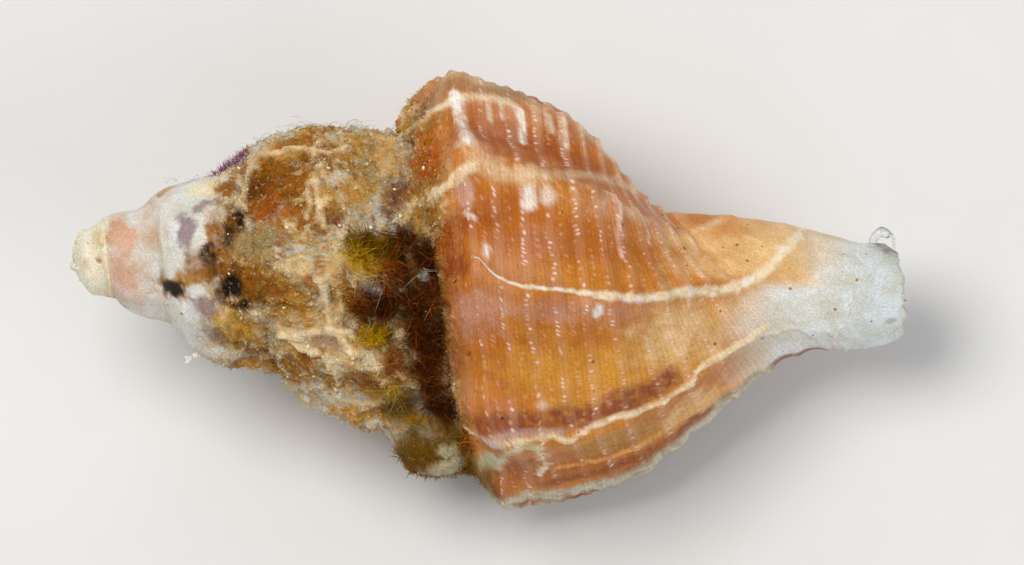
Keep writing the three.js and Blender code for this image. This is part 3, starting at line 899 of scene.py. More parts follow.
def fine_relief(row_angle, v, half_turn, crusted, points):
    """Height of the cords, the fourth rib's thin crest and the crust over the smooth whorl."""
    number = cord_number(v)
    every = 0.5 + 0.5 * np.cos(2 * np.pi * number)
    strong = np.sqrt(0.5 + 0.5 * np.cos(np.pi * number))
    small = np.interp(v, (2.8, 3.2), (0.2, 0.6))
    shape = np.where(v > 2, small * every + (1 - small) * strong, every * np.interp(v, (1, 2), (0.7, 1)))
    height = np.interp(v, (0, 0.15, 1, 2, 2.3, 2.9, 3.3, 3.7, 4), (0, 0.15, 0.45, 0.6, 1, 0.9, 0.7, 0.4, 0.1))
    on_ribs = 0.55 + 0.75 * rib_shape(row_angle)
    uneven = 0.9 + 0.35 * cloud(points, 0.25, 15)
    cords = sizes().cord_height / MM * height * shape * on_ribs * uneven * smooth(half_turn, 3.5, 7)
    crisp = smooth(row_angle, CRISP_FROM, FIRST_RIB_ANGLE)
    crest_span = np.interp(v, (0.2, 0.8, 2.6, 3.3), (0, 1, 1, 0))
    crest = 0.026 * np.exp(-((rib_distance(row_angle) / 0.05) ** 2)) * crest_span * crisp
    wrinkles = ridges(points, 0.36, 11) ** 2 + 0.7 * cloud(points, 0.17, 12) + 0.45 * cloud(points, 0.07, 13)
    return cords + crest + sizes().crust_height / MM * crusted * wrinkles


def lower_crust(lattice, x):
    """How crusted the spire is, from 0 to 1."""
    on_spire = lattice.rows < lattice.body_row
    upper_body = smooth(lattice.angle, -158, -60) * smooth(lattice.v, 0.2, 0.9)
    crust = smooth(x, 1.1, 1.7) * np.where(on_spire, 1, 1 - upper_body) * (1 - smooth(x, 3.3, 4.1))
    return np.where(lattice.inner_face | near_cavity(lattice), 0, crust)


def paint_body(brush, lattice, x):
    """Ground colours of the body whorl, all round it, with painted shade in the hollows between the upper
    ribs and a painted highlight on the early ribs' crests.
    """
    angle, v = lattice.angle, lattice.v
    broad, small, fine = cloud(brush.points, 1.3, 21), cloud(brush.points, 0.35, 22), brush.ragged
    brush.put("amber", np.ones(len(x)))
    # Painted shade: the hollows between the upper ribs are painted a deeper red-orange.
    between = smooth(rib_distance(angle), 0.12, 0.4)
    brush.put("rust", 0.6 * between * smooth(v, 0.6, 1.2) * (1 - smooth(x, 4.9, 6.3)) * (0.75 + 0.4 * broad))
    brush.put("orange", 0.4 * smooth(small, 0.05, 0.5) * (1 - smooth(x, 4.9, 5.8)))
    brush.put("gold", 0.75 * smooth(angle, 100, 118) * (1 - smooth(angle, 132, 150)) * smooth(v, 1.2, 1.8))
    brush.put("lilac", 0.3 * smooth(-broad, 0.1, 0.5))
    brush.put("tan", 0.9 * smooth(x + 0.35 * broad, 5.9, 7.1))
    below_crest = smooth(angle, 86, 112)
    brush.put("bone", smooth(x + 0.25 * broad + 0.15 * small + 0.7 * below_crest, 6.75, 7.5))
    brush.put("mist", 0.8 * smooth(x + 0.2 * broad, 7.1, 7.7))
    # Painted highlight: the crests of the body whorl's early ribs are painted paler cream, in patches.
    crest = np.exp(-((rib_distance(angle) / 0.11) ** 2)) * smooth(v, 0.4, 1) * (1 - smooth(v, 2.5, 3.1))
    patchy = smooth(small + 0.6 * fine, -0.3, 0.3)
    brush.put("cream", 0.5 * crest * patchy * (1 - smooth(angle, CRISP_FROM, 90)))
    band = np.exp(-(((rib_distance(angle) - 0.14) / 0.05) ** 2))
    brush.put("wine", 0.3 * band * smooth(v, 0.8, 1.2) * (1 - smooth(v, 2.6, 3)) * (angle < 60))
    knobs = smooth(np.cos(np.pi * cord_number(v)), 0.0, 0.9) * smooth(v, 1.2, 2.1) * (1 - smooth(v, 2.9, 3.3))
    brush.put("cream", 0.28 * knobs * (1 - smooth(angle, 20, 60)))
    lip = smooth(angle, 183, 188) * (1 - smooth(angle, 193, 196))
    brush.put("wine", 0.8 * lip * (1 - smooth(v, 2.9, 3.3)))
    brush.put("lip_grey", 0.95 * smooth(angle + 2.0 * fine + 5 * (1 - smooth(v, 1.4, 1.8)), 193, 196.5))


def paint_spire(brush, lattice, x, crusted):
    """Ground colours of the spire, all round it."""
    spire = 1 - smooth(lattice.angle + 360 * smooth(x, 3.4, 4.2), -170, -150)
    points = brush.points
    broad, small = cloud(points, 0.55, 31), cloud(points, 0.2, 32)
    other, grains = cloud(points, 0.4, 33), cloud(points, 0.08, 34)
    wrinkles = ridges(points, 0.36, 11)
    brush.put("bone", spire)
    brush.put("cream", 0.6 * spire * (1 - smooth(x, 0.3, 0.36)))
    brush.put("rose", 0.55 * smooth(x, 0.31, 0.38) * (1 - smooth(x, 0.7, 1.0)) * (0.8 + small))
    brush.put("window", 0.45 * smooth(other, 0.15, 0.4) * smooth(x, 0.95, 1.1) * (1 - smooth(x, 1.5, 1.9)))
    brush.put("khaki", 0.8 * crusted * smooth(broad + 0.4 * small, -0.35, 0.1))
    brush.put("ochre", 0.85 * crusted * smooth(other + 0.5 * small, -0.15, 0.25))
    brush.put("umber", 0.8 * crusted * smooth(broad - 0.4 * small + 0.3 * grains, 0.18, 0.42))
    brush.put("cream", 0.85 * crusted * smooth(wrinkles + 0.3 * grains, 0.66, 0.95))
    brush.put("umber", 0.45 * crusted * smooth(grains, 0.3, 0.55))


class Form:
    """The grown shell: its vertices on the coil with their colours and the other values they carry."""

    def __init__(self):
        lattice = Lattice().build()
        self.lattice = lattice
        angle, v = lattice.angle, lattice.v
        points = np.where(lattice.inner_face[:, None], inside(angle, v), whorl(angle, v))
        points[lattice.apex] = (-0.01, 0, 0)
        points[lattice.middle] = place(np.array(SHELL_LENGTH - 0.1), np.array(0.0), np.array(0.0))
        normals = outward(angle, v)
        normals[lattice.apex] = (-1, 0, 0)
        normals[lattice.middle] = (1, 0, 0)
        points, self.lump = with_lump(angle, v, points)
        self.inner = lattice.inner_face | near_cavity(lattice)
        normals[self.inner] *= -1
        self.points, self.normals = points, normals
        self.brush = Painter(points, np.where(self.inner[:, None], -np.abs(normals), normals))
        self.x = points[:, 0]
        self.half_turn = BODY_HALF_TURN + shifted(angle, v) / 180
        self.crusted = lower_crust(lattice, self.x)
        self.raised = np.zeros(len(points))
        self.weed = 0.8 * self.lump
        self.paint()
        self.raise_relief()
        self.carry_values()

    def paint(self):
        brush = self.brush
        paint_body(brush, self.lattice, self.x)
        paint_spire(brush, self.lattice, self.x, self.crusted)
        for mark in BODY_MARKS:
            brush.put(mark.finish, brush.spot(mark))
        for mark in SPIRE_MARKS:
            if mark.finish == "soot":
                halo = Mark("umber", mark.across, mark.down, mark.wide * 1.5, mark.high * 1.5, mark.turn, 0.8)
                brush.put(halo.finish, brush.spot(halo, 1.1))
            brush.put(mark.finish, brush.spot(mark, 0.8))
        for line in BODY_LINES:
            share = brush.stroke(line, broken=0.45)
            brush.put(line.finish, share)
            self.raised += line.raised * share
        self.ridge = np.zeros(len(self.points))
        for line in SPIRE_LINES:
            share = brush.stroke(line, broken=0.35)
            brush.put(line.finish, share)
            self.raised += 1.4 * line.raised * share
            self.ridge = np.maximum(self.ridge, share)
        for mark in WEED_MARKS:
            share = brush.spot(mark, 0.6)
            brush.put(mark.finish, share)
            self.weed = np.maximum(self.weed, share)
        brush.put("olive", np.minimum(self.lump * 2, 1))
        self.bare = np.zeros(len(self.points))
        for mark in BARE_MARKS:
            share = brush.spot(mark, 0.6)
            brush.put(mark.finish, share)
            self.bare = np.maximum(self.bare, share)
        brush.put("inside", np.where(self.inner, 1.0, 0.0))

    def raise_relief(self):
        lattice, v = self.lattice, self.lattice.v
        welded = smooth(v, 0, 0.12) * np.where(lattice.rows < lattice.body_row, 1 - smooth(v, 1.88, 2), 1)
        crusted = self.crusted * (1 - 0.6 * self.weed)
        height = fine_relief(lattice.angle, v, self.half_turn, crusted, self.points) + self.raised
        height += self.weed * (0.045 + 0.05 * cloud(self.points, 0.16, 41))
        height += 0.065 * self.brush.spot(CANAL_PATCH) * (1 + 0.5 * self.brush.ragged)
        turn = np.radians(lattice.angle)
        around = np.stack([np.zeros_like(turn), np.cos(turn), np.sin(turn)], -1)
        cut_back = 0.06 * np.maximum(around[:, 2], 0) ** 2
        chipped = smooth(v, 3.8, 4) * (0.02 + 0.035 * cloud(around, 0.3, 42) - cut_back)
        height = np.where(self.inner | (lattice.rows == lattice.last_row), 0, height * welded)
        height[lattice.middle] = 0
        self.points = self.points + self.normals * height[:, None]
        self.points[:, 0] -= chipped

    def carry_values(self):
        lattice, brush = self.lattice, self.brush
        v = lattice.v
        beads = smooth(self.half_turn, 3.5, 6.5) * smooth(v, 0.4, 0.9) * (1 - smooth(v, 2.7, 3.1))
        beads = np.where(self.inner, 0, beads * (1 - self.crusted) * (1 - self.weed))
        per_degree = sizes().beads_per_turn / 360
        self.cords = np.stack([cord_number(v), lattice.angle * per_degree, beads], -1)
        self.coil = np.stack([self.x, lattice.angle / 10, v], -1)
        rows, columns = zip(*OLD_EDGE)
        old_edge = (brush.across - np.interp(brush.down, rows, columns)) * MM_PER_PIXEL
        self.values = {
            "crusted": np.maximum(self.crusted * (1 - 0.6 * self.ridge), self.weed),
            "weed": self.weed,
            "inside": self.inner.astype(float),
            "crest": np.where(self.inner, FAR_AWAY, brush.beside(CREST_FROM, CREST_TO, CREST, CREST_WIDTHS)),
            "old_edge": np.where(self.inner, FAR_AWAY, old_edge),
        }


@functools.cache
def form():
    return Form()


def make_mesh(name, points, faces, floats=(), vectors=(), colour=None):
    mesh = bpy.data.meshes.new(name)
    mesh.from_pydata([tuple(p) for p in points], [], [tuple(int(i) for i in f) for f in faces])
    for key, value in dict(floats).items():
        mesh.attributes.new(key, "FLOAT", "POINT").data.foreach_set("value", value.astype(np.float32))
    for key, value in dict(vectors).items():
        flat = value.astype(np.float32).ravel()
        mesh.attributes.new(key, "FLOAT_VECTOR", "POINT").data.foreach_set("vector", flat)
    if colour is not None:
        rgba = np.concatenate([colour, np.ones((len(colour), 1))], 1).astype(np.float32)
        mesh.attributes.new("paint", "FLOAT_COLOR", "POINT").data.foreach_set("color", rgba.ravel())
    mesh.shade_smooth()
    made = bpy.data.objects.new(name, mesh)
    bpy.context.scene.collection.objects.link(made)
    return made


# Materials

class Nodes:
    """Short hand for a material's node tree."""

    def __init__(self, name):
        self.material = bpy.data.materials.new(name)
        self.material.use_nodes = True
        self.tree = self.material.node_tree
        self.shader = self.tree.nodes["Principled BSDF"]

    def add(self, kind, inputs=(), **settings):
        made = self.tree.nodes.new(kind)
        for key, value in settings.items():
            setattr(made, key, value)
        for key, value in dict(inputs).items():
            self.feed(made.inputs[key], value)
        return made

    def feed(self, socket, value):
        if isinstance(value, bpy.types.NodeSocket):
            self.tree.links.new(value, socket)
        else:
            socket.default_value = value

    def attribute(self, name, output="Fac"):
        return self.add("ShaderNodeAttribute", attribute_name=name).outputs[output]

    def math(self, operation, a, b=0.0, clamp=False):
        return self.add("ShaderNodeMath", {0: a, 1: b}, operation=operation, use_clamp=clamp).outputs[0]

    def ramp(self, value, low, high, to_low=0.0, to_high=1.0):
        inputs = {"Value": value, "From Min": low, "From Max": high, "To Min": to_low, "To Max": to_high}
        return self.add("ShaderNodeMapRange", inputs, interpolation_type="SMOOTHSTEP").outputs["Result"]

    def mix(self, share, below, above, kind="MIX"):
        made = self.add("ShaderNodeMix", data_type="RGBA", blend_type=kind)
        self.feed(made.inputs[0], share)
        self.feed(made.inputs[6], below)
        self.feed(made.inputs[7], above)
        return made.outputs[2]

    def grain(self, scale, detail=4, vector=None, output="Fac"):
        made = self.add("ShaderNodeTexNoise", {"Scale": scale, "Detail": detail, "Roughness": 0.6})
        self.feed(made.inputs["Vector"], vector if vector is not None else self.place())
        return made.outputs[output]

    def place(self):
        """Object coordinates in millimetres."""
        if not hasattr(self, "placed"):
            where = self.add("ShaderNodeTexCoord").outputs["Object"]
            scaled = self.add("ShaderNodeVectorMath", {0: where, "Scale": 1 / MM}, operation="SCALE")
            self.placed = scaled.outputs[0]
        return self.placed

    def bump(self, height, distance, strength=1.0, below=None):
        made = self.add("ShaderNodeBump", {"Height": height, "Distance": distance, "Strength": strength})
        if below is not None:
            self.feed(made.inputs["Normal"], below)
        return made.outputs["Normal"]


def rgba(finish):
    return (*linear(getattr(colours(), finish)), 1.0)


def shell_material():
    """Painted shell: mottled, with soft pale beads along its spiral rows, specks, and grit on the crust."""
    m = Nodes("shell_surface")
    crusted, within = m.attribute("crusted"), m.attribute("inside")
    cords = m.add("ShaderNodeSeparateXYZ", {0: m.attribute("cords", "Vector")}).outputs
    clean = m.math("SUBTRACT", 1.0, crusted)
    dots, glow = bead_dots(m, cords)
    tinted = m.mix(1.0, m.attribute("paint", "Color"), m.add("ShaderNodeCombineColor", {
        "Red": m.ramp(m.grain(3.5, 5), 0.3, 0.7, 0.88, 1.08),
        "Green": m.ramp(m.grain(3.5, 5), 0.3, 0.7, 0.82, 1.10),
        "Blue": m.ramp(m.grain(3.5, 5), 0.3, 0.7, 0.70, 1.15),
    }).outputs[0], "MULTIPLY")
    threads = m.math("COSINE", m.math("MULTIPLY", cords[0], 6 * math.pi))
    streaks = m.math("ADD", m.math("MULTIPLY", m.math("MULTIPLY", threads, cords[2]), 0.055), 1.0)
    fleck = m.ramp(m.grain(55, 3), 0.3, 0.7, 0.84, 1.14)
    waxy = m.mix(1.0, tinted, m.math("MULTIPLY", streaks, fleck), "MULTIPLY")
    gritted = m.mix(crusted, waxy, crust_colour(m, waxy))
    dotted = m.mix(m.math("MAXIMUM", dots, glow), gritted, rgba("bead"))
    rim = m.math("ABSOLUTE", m.math("ADD", m.attribute("crest"), m.ramp(m.grain(9, 3), 0.3, 0.7, -0.3, 0.3)))
    crest = m.math("MULTIPLY", m.ramp(rim, 0.3, 1.5, 0.9, 0.0), m.ramp(m.grain(14, 3), 0.3, 0.6, 0.55, 1.0))
    crested = m.mix(crest, dotted, m.mix(m.ramp(m.grain(7, 2), 0.55, 0.66), rgba("cream"), rgba("chalk")))
    wavy = m.math("ADD", m.attribute("old_edge"), m.ramp(m.grain(5, 4), 0.3, 0.7, -0.05, 0.05))
    thin = m.ramp(m.math("ABSOLUTE", wavy), 0.004, 0.03, 1.0, 0.0)
    edge = m.math("MULTIPLY", thin, m.ramp(m.grain(6, 2), 0.35, 0.55))
    edged = m.mix(m.math("MULTIPLY", edge, 0.75), crested, rgba("chalk"))
    speck, tone = dark_specks(m, clean)
    m.feed(m.shader.inputs["Base Color"], m.mix(speck, edged, tone))
    rough = m.ramp(m.grain(6, 3), 0.3, 0.7, 0.34, 0.5)
    rough = m.math("ADD", rough, m.math("MULTIPLY", crusted, 0.4), clamp=True)
    m.feed(m.shader.inputs["Roughness"], m.math("SUBTRACT", rough, m.math("MULTIPLY", within, 0.12)))
    along_it = m.add("ShaderNodeMapping", {"Vector": m.attribute("coil", "Vector"), "Scale": (26, 1.2, 0.0)})
    growth = m.math("MULTIPLY", m.grain(1.0, 3, along_it.outputs[0]), m.ramp(cords[2], 0.0, 0.6, 1.0, 0.1))
    fine = m.bump(m.math("ADD", m.grain(30, 4), growth), 0.009 * MM, 0.8)
    gritty = m.bump(m.math("MULTIPLY", m.grain(16, 8), crusted), 0.07 * MM, 1.0, fine)
    threaded = m.math("MULTIPLY", threads, m.math("MULTIPLY", cords[2], 0.05))
    beaded = m.math("ADD", m.math("MULTIPLY", dots, 0.45), threaded)
    relief = m.math("ADD", beaded, crest)
    raised = m.bump(m.math("ADD", relief, m.math("MULTIPLY", edge, 0.6)), 0.012 * MM, 1.0, gritty)
    m.feed(m.shader.inputs["Normal"], raised)
    m.shader.inputs["IOR"].default_value = 1.53
    m.shader.inputs["Specular IOR Level"].default_value = 0.16
    m.shader.inputs["Subsurface Weight"].default_value = 0.15
    m.shader.inputs["Subsurface Scale"].default_value = 0.12 * MM
    return m.material


def bead_dots(m, cords):
    """Small round dots along the spiral rows, some rows and stretches stronger than others."""
    drift = m.ramp(m.grain(1.1, 1), 0.3, 0.7, -2.0, 2.0)
    number = m.math("ADD", cords[0], m.ramp(m.grain(1.6, 1), 0.3, 0.7, -0.2, 0.2))
    on_row = m.math("ADD", number, 0.5)
    grid = m.add("ShaderNodeCombineXYZ", {"X": on_row, "Y": m.math("ADD", cords[1], drift)}).outputs[0]
    cells = m.add("ShaderNodeTexVoronoi", {"Vector": grid, "Scale": 1.0, "Randomness": 0.45})
    cells.voronoi_dimensions = "2D"
    away = m.add("ShaderNodeVectorMath", {0: grid, 1: cells.outputs["Position"]}, operation="SUBTRACT")
    even = m.add("ShaderNodeVectorMath", {0: away.outputs[0], 1: (2.1, 1.0, 0.0)}, operation="MULTIPLY")
    size = m.add("ShaderNodeVectorMath", {0: even.outputs[0]}, operation="LENGTH").outputs["Value"]
    chance = m.add("ShaderNodeSeparateColor", {0: cells.outputs["Color"]}).outputs
    dot = m.ramp(size, 0.1, 0.5, 1.0, 0.0)
    kept = m.ramp(chance[0], 0.1, 0.95, 0.05, 1.0)
    row = m.ramp(m.math("COSINE", m.math("MULTIPLY", number, math.pi)), -0.6, 1.0, 0.25, 1.0)
    patch = m.math("MULTIPLY", m.ramp(m.grain(1.7, 3), 0.38, 0.56, 0.3, 1.0), cords[2])
    glow = m.math("MULTIPLY", m.ramp(row, 0.6, 1.0, 0.0, 0.1), patch)
    return m.math("MULTIPLY", dot, m.math("MULTIPLY", m.math("MULTIPLY", kept, row), patch)), glow


def crust_colour(m, below):
    """The crust's paint broken up into small brown, ochre and pale grains."""
    browned = m.mix(1.0, below, (1.25, 0.9, 0.5, 1), "MULTIPLY")
    warm = m.mix(m.ramp(m.grain(21, 6), 0.42, 0.6), below, browned)
    darkened = m.mix(1.0, warm, (0.35, 0.28, 0.2, 1), "MULTIPLY")
    dark = m.mix(m.ramp(m.grain(33, 6), 0.56, 0.68, 0.0, 0.55), warm, darkened)
    bare = m.math("SUBTRACT", 1.0, m.attribute("weed"))
    return m.mix(m.math("MULTIPLY", m.ramp(m.grain(27, 5), 0.56, 0.7, 0.0, 0.6), bare), dark, rgba("cream"))


def dark_specks(m, clean):
    """Tiny brown-black specks, more of them towards the canal."""
    cells = m.add("ShaderNodeTexVoronoi", {"Vector": m.place(), "Scale": 7.0, "Randomness": 1.0})
    chosen = m.add("ShaderNodeSeparateColor", {0: cells.outputs["Color"]}).outputs
    size = m.ramp(chosen[1], 0.0, 1.0, 0.05, 0.14)
    inside_it = m.ramp(m.math("DIVIDE", cells.outputs["Distance"], size), 0.7, 1.1, 1.0, 0.0)
    x = m.add("ShaderNodeSeparateXYZ", {0: m.attribute("coil", "Vector")}).outputs[0]
    few = m.math("GREATER_THAN", chosen[0], m.ramp(x, 4.5, 6.5, 0.85, 0.4))
    share = m.math("MULTIPLY", m.math("MULTIPLY", inside_it, few), m.math("MULTIPLY", clean, 0.75))
    return share, m.mix(chosen[2], rgba("soot"), rgba("umber"))


class KURTZIA_OT_shell(Operator):
    """Grow the shell, apex to canal, with its ribs, cords, crust and colours"""

    bl_idname = "kurtzia.shell"
    bl_label = "Shell"

    def execute(self, context):
        grown = form()
        laid = bed().lay(grown.points)
        vectors = {"cords": grown.cords, "coil": grown.coil}
        faces = grown.lattice.faces
        shell = make_mesh("kurtzia_shell", laid, faces, grown.values, vectors, grown.brush.colour)
        shell.data.materials.append(shell_material())
        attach(shell, "root")
        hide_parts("shell")
        return {"FINISHED"}


# What grows on the shell

def unit(vectors):
    return vectors / np.maximum(np.linalg.norm(vectors, axis=-1, keepdims=True), 1e-9)


class Heap:
    """Many small closed forms gathered into one mesh, each with a colour."""

    def __init__(self, name):
        self.name = name
        self.points, self.faces, self.colours, self.count = [], [], [], 0

    def add(self, points, faces, colours):
        self.points.append(points)
        self.faces += [tuple(int(i) + self.count for i in face) for face in faces]
        self.colours.append(np.broadcast_to(colours, points.shape))
        self.count += len(points)

    def hairs(self, roots, headings, lengths, width, colours, rings, dice, bend=0.45):
        """Tapered three-sided hairs, each bent its own way."""
        sideways = unit(np.cross(headings, dice.normal(size=headings.shape)))
        other = np.cross(headings, sideways)
        bends = dice.normal(0, bend, headings.shape)
        corners = []
        for ring in range(rings):
            share = ring / rings
            middle = roots + (headings * share + bends * share ** 2) * lengths[:, None]
            for corner in range(3):
                turn = 2 * math.pi * corner / 3
                round_it = sideways * math.cos(turn) + other * math.sin(turn)
                corners.append(middle + round_it * (width * (1 - share) ** 0.6)[:, None])
        corners.append(roots + (headings + bends) * lengths[:, None])
        points = np.stack(corners, 1)
        pattern = [(2, 1, 0)]
        for ring in range(rings - 1):
            for corner in range(3):
                a, b = 3 * ring + corner, 3 * ring + (corner + 1) % 3
                pattern.append((a, b, b + 3, a + 3))
        last = 3 * (rings - 1)
        pattern += [(last, last + 1, last + 3), (last + 1, last + 2, last + 3), (last + 2, last, last + 3)]
        size = points.shape[1]
        faces = [tuple(size * k + i for i in face) for k in range(len(roots)) for face in pattern]
        self.add(points.reshape(-1, 3), faces, np.repeat(colours, size, 0))

    def grains(self, places, sizes_in_mm, colours, dice, subdivisions=2):
        """Small lumpy grains, each with its own shape."""
        ball, triangles = round_ball(subdivisions)
        for place_of, size, colour_of in zip(places, sizes_in_mm, colours):
            turn = np.linalg.qr(dice.normal(size=(3, 3)))[0]
            swell = np.sin(ball @ dice.normal(0, 2.2, (3, 3)) + dice.uniform(0, 6, 3)).sum(-1, keepdims=True)
            lumpy = ball * (1 + 0.16 * swell)
            self.add(place_of + (lumpy * dice.uniform(0.55, 1.3, 3)) @ turn * size, triangles, colour_of)

    def thread(self, places, radii, colour_of, sides=6):
        """A smooth round thread through places, with closed ends."""
        path = np.array(places, float)
        runs = unit(np.gradient(path, axis=0))
        sideways = unit(np.cross(runs, (0.3, 0.5, 0.8)))
        other = np.cross(runs, sideways)
        rings = []
        for k in range(sides):
            turn = 2 * math.pi * k / sides
            round_it = sideways * math.cos(turn) + other * math.sin(turn)
            rings.append(path + round_it * np.array(radii)[:, None])
        points = np.stack(rings, 1).reshape(-1, 3)
        faces = [tuple(range(sides))[::-1], tuple(range(len(points) - sides, len(points)))]
        for ring in range(len(path) - 1):
            for k in range(sides):
                a, b = ring * sides + k, ring * sides + (k + 1) % sides
                faces.append((a, b, b + sides, a + sides))
        self.add(points, faces, colour_of)

    def finish(self, material):
        laid = bed().lay(np.concatenate(self.points))
        made = make_mesh(self.name, laid, self.faces, colour=np.concatenate(self.colours))
        made.data.materials.append(material)
        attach(made, "root")
        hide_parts("shell")
        return made


def round_ball(subdivisions):
    ball = bmesh.new()
    bmesh.ops.create_icosphere(ball, subdivisions=subdivisions, radius=1.0)
    points = np.array([vertex.co[:] for vertex in ball.verts])
    triangles = [tuple(vertex.index for vertex in face.verts) for face in ball.faces]
    ball.free()
    return points, triangles


def curve_through(pixels, towards, steps=24):
    """A smooth path through pixels, each with its distance towards the viewer."""
    places = np.array([from_photo(across, down, z) for (across, down), z in zip(pixels, towards)])
    at = np.linspace(0, len(places) - 1, steps)
    i = np.minimum(at.astype(int), len(places) - 2)
    w = (at - i)[:, None]
    before, after = places[np.maximum(i - 1, 0)], places[np.minimum(i + 2, len(places) - 1)]
    a, b = places[i], places[i + 1]
    v0, v1 = (b - before) / 2, (after - a) / 2
    return (2 * a - 2 * b + v0 + v1) * w ** 3 + (-3 * a + 3 * b - 2 * v0 - v1) * w ** 2 + v0 * w + a


def growth_material(name, roughness, soft, grain_scale):
    """Fine organic stuff in its own colour, uneven along it and a little see-through to light."""
    m = Nodes(name)
    paint = m.attribute("paint", "Color")
    shade = m.ramp(m.grain(grain_scale, 4), 0.3, 0.7, 0.7, 1.25)
    m.feed(m.shader.inputs["Base Color"], m.mix(1.0, paint, shade, "MULTIPLY"))
    rough = m.ramp(m.grain(grain_scale / 2, 2), 0.3, 0.7, roughness - 0.1, roughness + 0.1)
    m.feed(m.shader.inputs["Roughness"], rough)
    m.feed(m.shader.inputs["Normal"], m.bump(m.grain(grain_scale * 1.5, 3), 0.004 * MM, 0.6))
    m.shader.inputs["Specular IOR Level"].default_value = 0.06
    m.shader.inputs["Subsurface Weight"].default_value = soft
    m.shader.inputs["Subsurface Scale"].default_value = 0.05 * MM
    return m.material


def chosen_roots(weights, count, dice):
    """Vertices of the shell, picked more often where the weight is high."""
    return dice.choice(len(weights), count, p=weights / weights.sum())


def scattered(grown, picked, dice, spread=0.012):
    """Points and normals near picked vertices."""
    return grown.points[picked] + dice.normal(0, spread, (len(picked), 3)), grown.normals[picked]


def varied(colour_of, dice, amount=0.25):
    """Colours made lighter or darker, and a little warmer or cooler, each by its own amount."""
    light = np.exp(dice.normal(0, amount, (len(colour_of), 1)))
    warm = np.exp(dice.normal(0, amount / 3, (len(colour_of), 1)))
    return np.clip(colour_of * light * np.concatenate([warm, np.ones_like(warm), 1 / warm], 1), 0, 1)


class KURTZIA_OT_weed(Operator):
    """Grow the thick soft weed over the suture of the body whorl and on the lump beside the lip"""

    bl_idname = "kurtzia.weed"
    bl_label = "Weed"

    def execute(self, context):
        grown, dice = form(), np.random.default_rng(5)
        heap = Heap("kurtzia_weed")
        weights = np.where(grown.inner, 0, smooth(grown.weed, 0.25, 0.8) * (1 - 0.9 * grown.bare))
        picked = chosen_roots(weights, sizes().weed_hairs, dice)
        roots, normals = scattered(grown, picked, dice)
        headings = unit(0.25 * normals + dice.normal(0, 0.6, roots.shape))
        colour_of = varied(grown.brush.colour[picked], dice, 0.22)
        glowing = dice.random(len(picked)) < 0.14
        colour_of[glowing] = varied(np.tile(linear(colours().amber_weed), (glowing.sum(), 1)), dice, 0.25)
        lengths = dice.uniform(0.05, 0.13, len(picked)) * (1 - 0.75 * grown.lump[picked])
        widths = dice.uniform(0.003, 0.0065, len(picked))
        heap.hairs(roots, headings, lengths, widths, colour_of, 4, dice, 0.8)
        heap.finish(growth_material("weed_strands", 0.6, 0.25, 30))
        return {"FINISHED"}


class KURTZIA_OT_felt(Operator):
    """Grow the short felt of the crusted spire"""

    bl_idname = "kurtzia.felt"
    bl_label = "Felt"

    def execute(self, context):
        grown, dice = form(), np.random.default_rng(6)
        heap = Heap("kurtzia_felt")
        patch = 0.15 + smooth(cloud(grown.points, 0.3, 51), -0.2, 0.4)
        weights = np.where(grown.inner, 0, grown.crusted * patch * (1 - grown.weed) * (1 - 0.8 * grown.ridge))
        picked = chosen_roots(weights, sizes().felt_hairs, dice)
        roots, normals = scattered(grown, picked, dice)
        headings = unit(0.3 * normals + dice.normal(0, 0.55, roots.shape))
        colour_of = varied(grown.brush.colour[picked], dice, 0.2)
        lengths = dice.uniform(0.015, 0.05, len(picked))
        heap.hairs(roots, headings, lengths, dice.uniform(0.0025, 0.0055, len(picked)), colour_of, 2, dice)
        heap.finish(growth_material("felt_hairs", 0.75, 0.15, 45))
        return {"FINISHED"}


class KURTZIA_OT_crumbs(Operator):
    """Scatter the grains and crumbs that are stuck in the crust"""

    bl_idname = "kurtzia.crumbs"
    bl_label = "Crumbs"

    def execute(self, context):
        grown, dice = form(), np.random.default_rng(7)
        heap = Heap("kurtzia_crumbs")
        weights = np.where(grown.inner, 0, grown.crusted * (1 - 0.7 * grown.weed))
        small_ones = (sizes().crumbs, 0.005, 0.012, 1)
        large_ones = (sizes().crumbs // 5, 0.01, 0.02, 2)
        for count, low, high, fineness in (small_ones, large_ones):
            picked = chosen_roots(weights, count, dice)
            roots, normals = scattered(grown, picked, dice)
            pale = dice.random((count, 1)) < 0.1
            colour_of = np.where(pale, linear(colours().cream), grown.brush.colour[picked])
            size = dice.uniform(low, high, count)
            places = roots + normals * size[:, None] * 0.2
            heap.grains(places, size, varied(colour_of, dice, 0.2), dice, fineness)
        nub = np.where(grown.inner, 0, (grown.x < 0.3) * (0.1 + (grown.x < 0.12)))
        picked = chosen_roots(nub, 26, dice)
        size = dice.uniform(0.04, 0.08, len(picked))
        roots = grown.points[picked] - grown.normals[picked] * size[:, None] * 0.75
        heap.grains(roots, size, varied(grown.brush.colour[picked], dice, 0.05), dice, 3)
        heap.finish(growth_material("crumbs", 0.7, 0.1, 60))
        return {"FINISHED"}


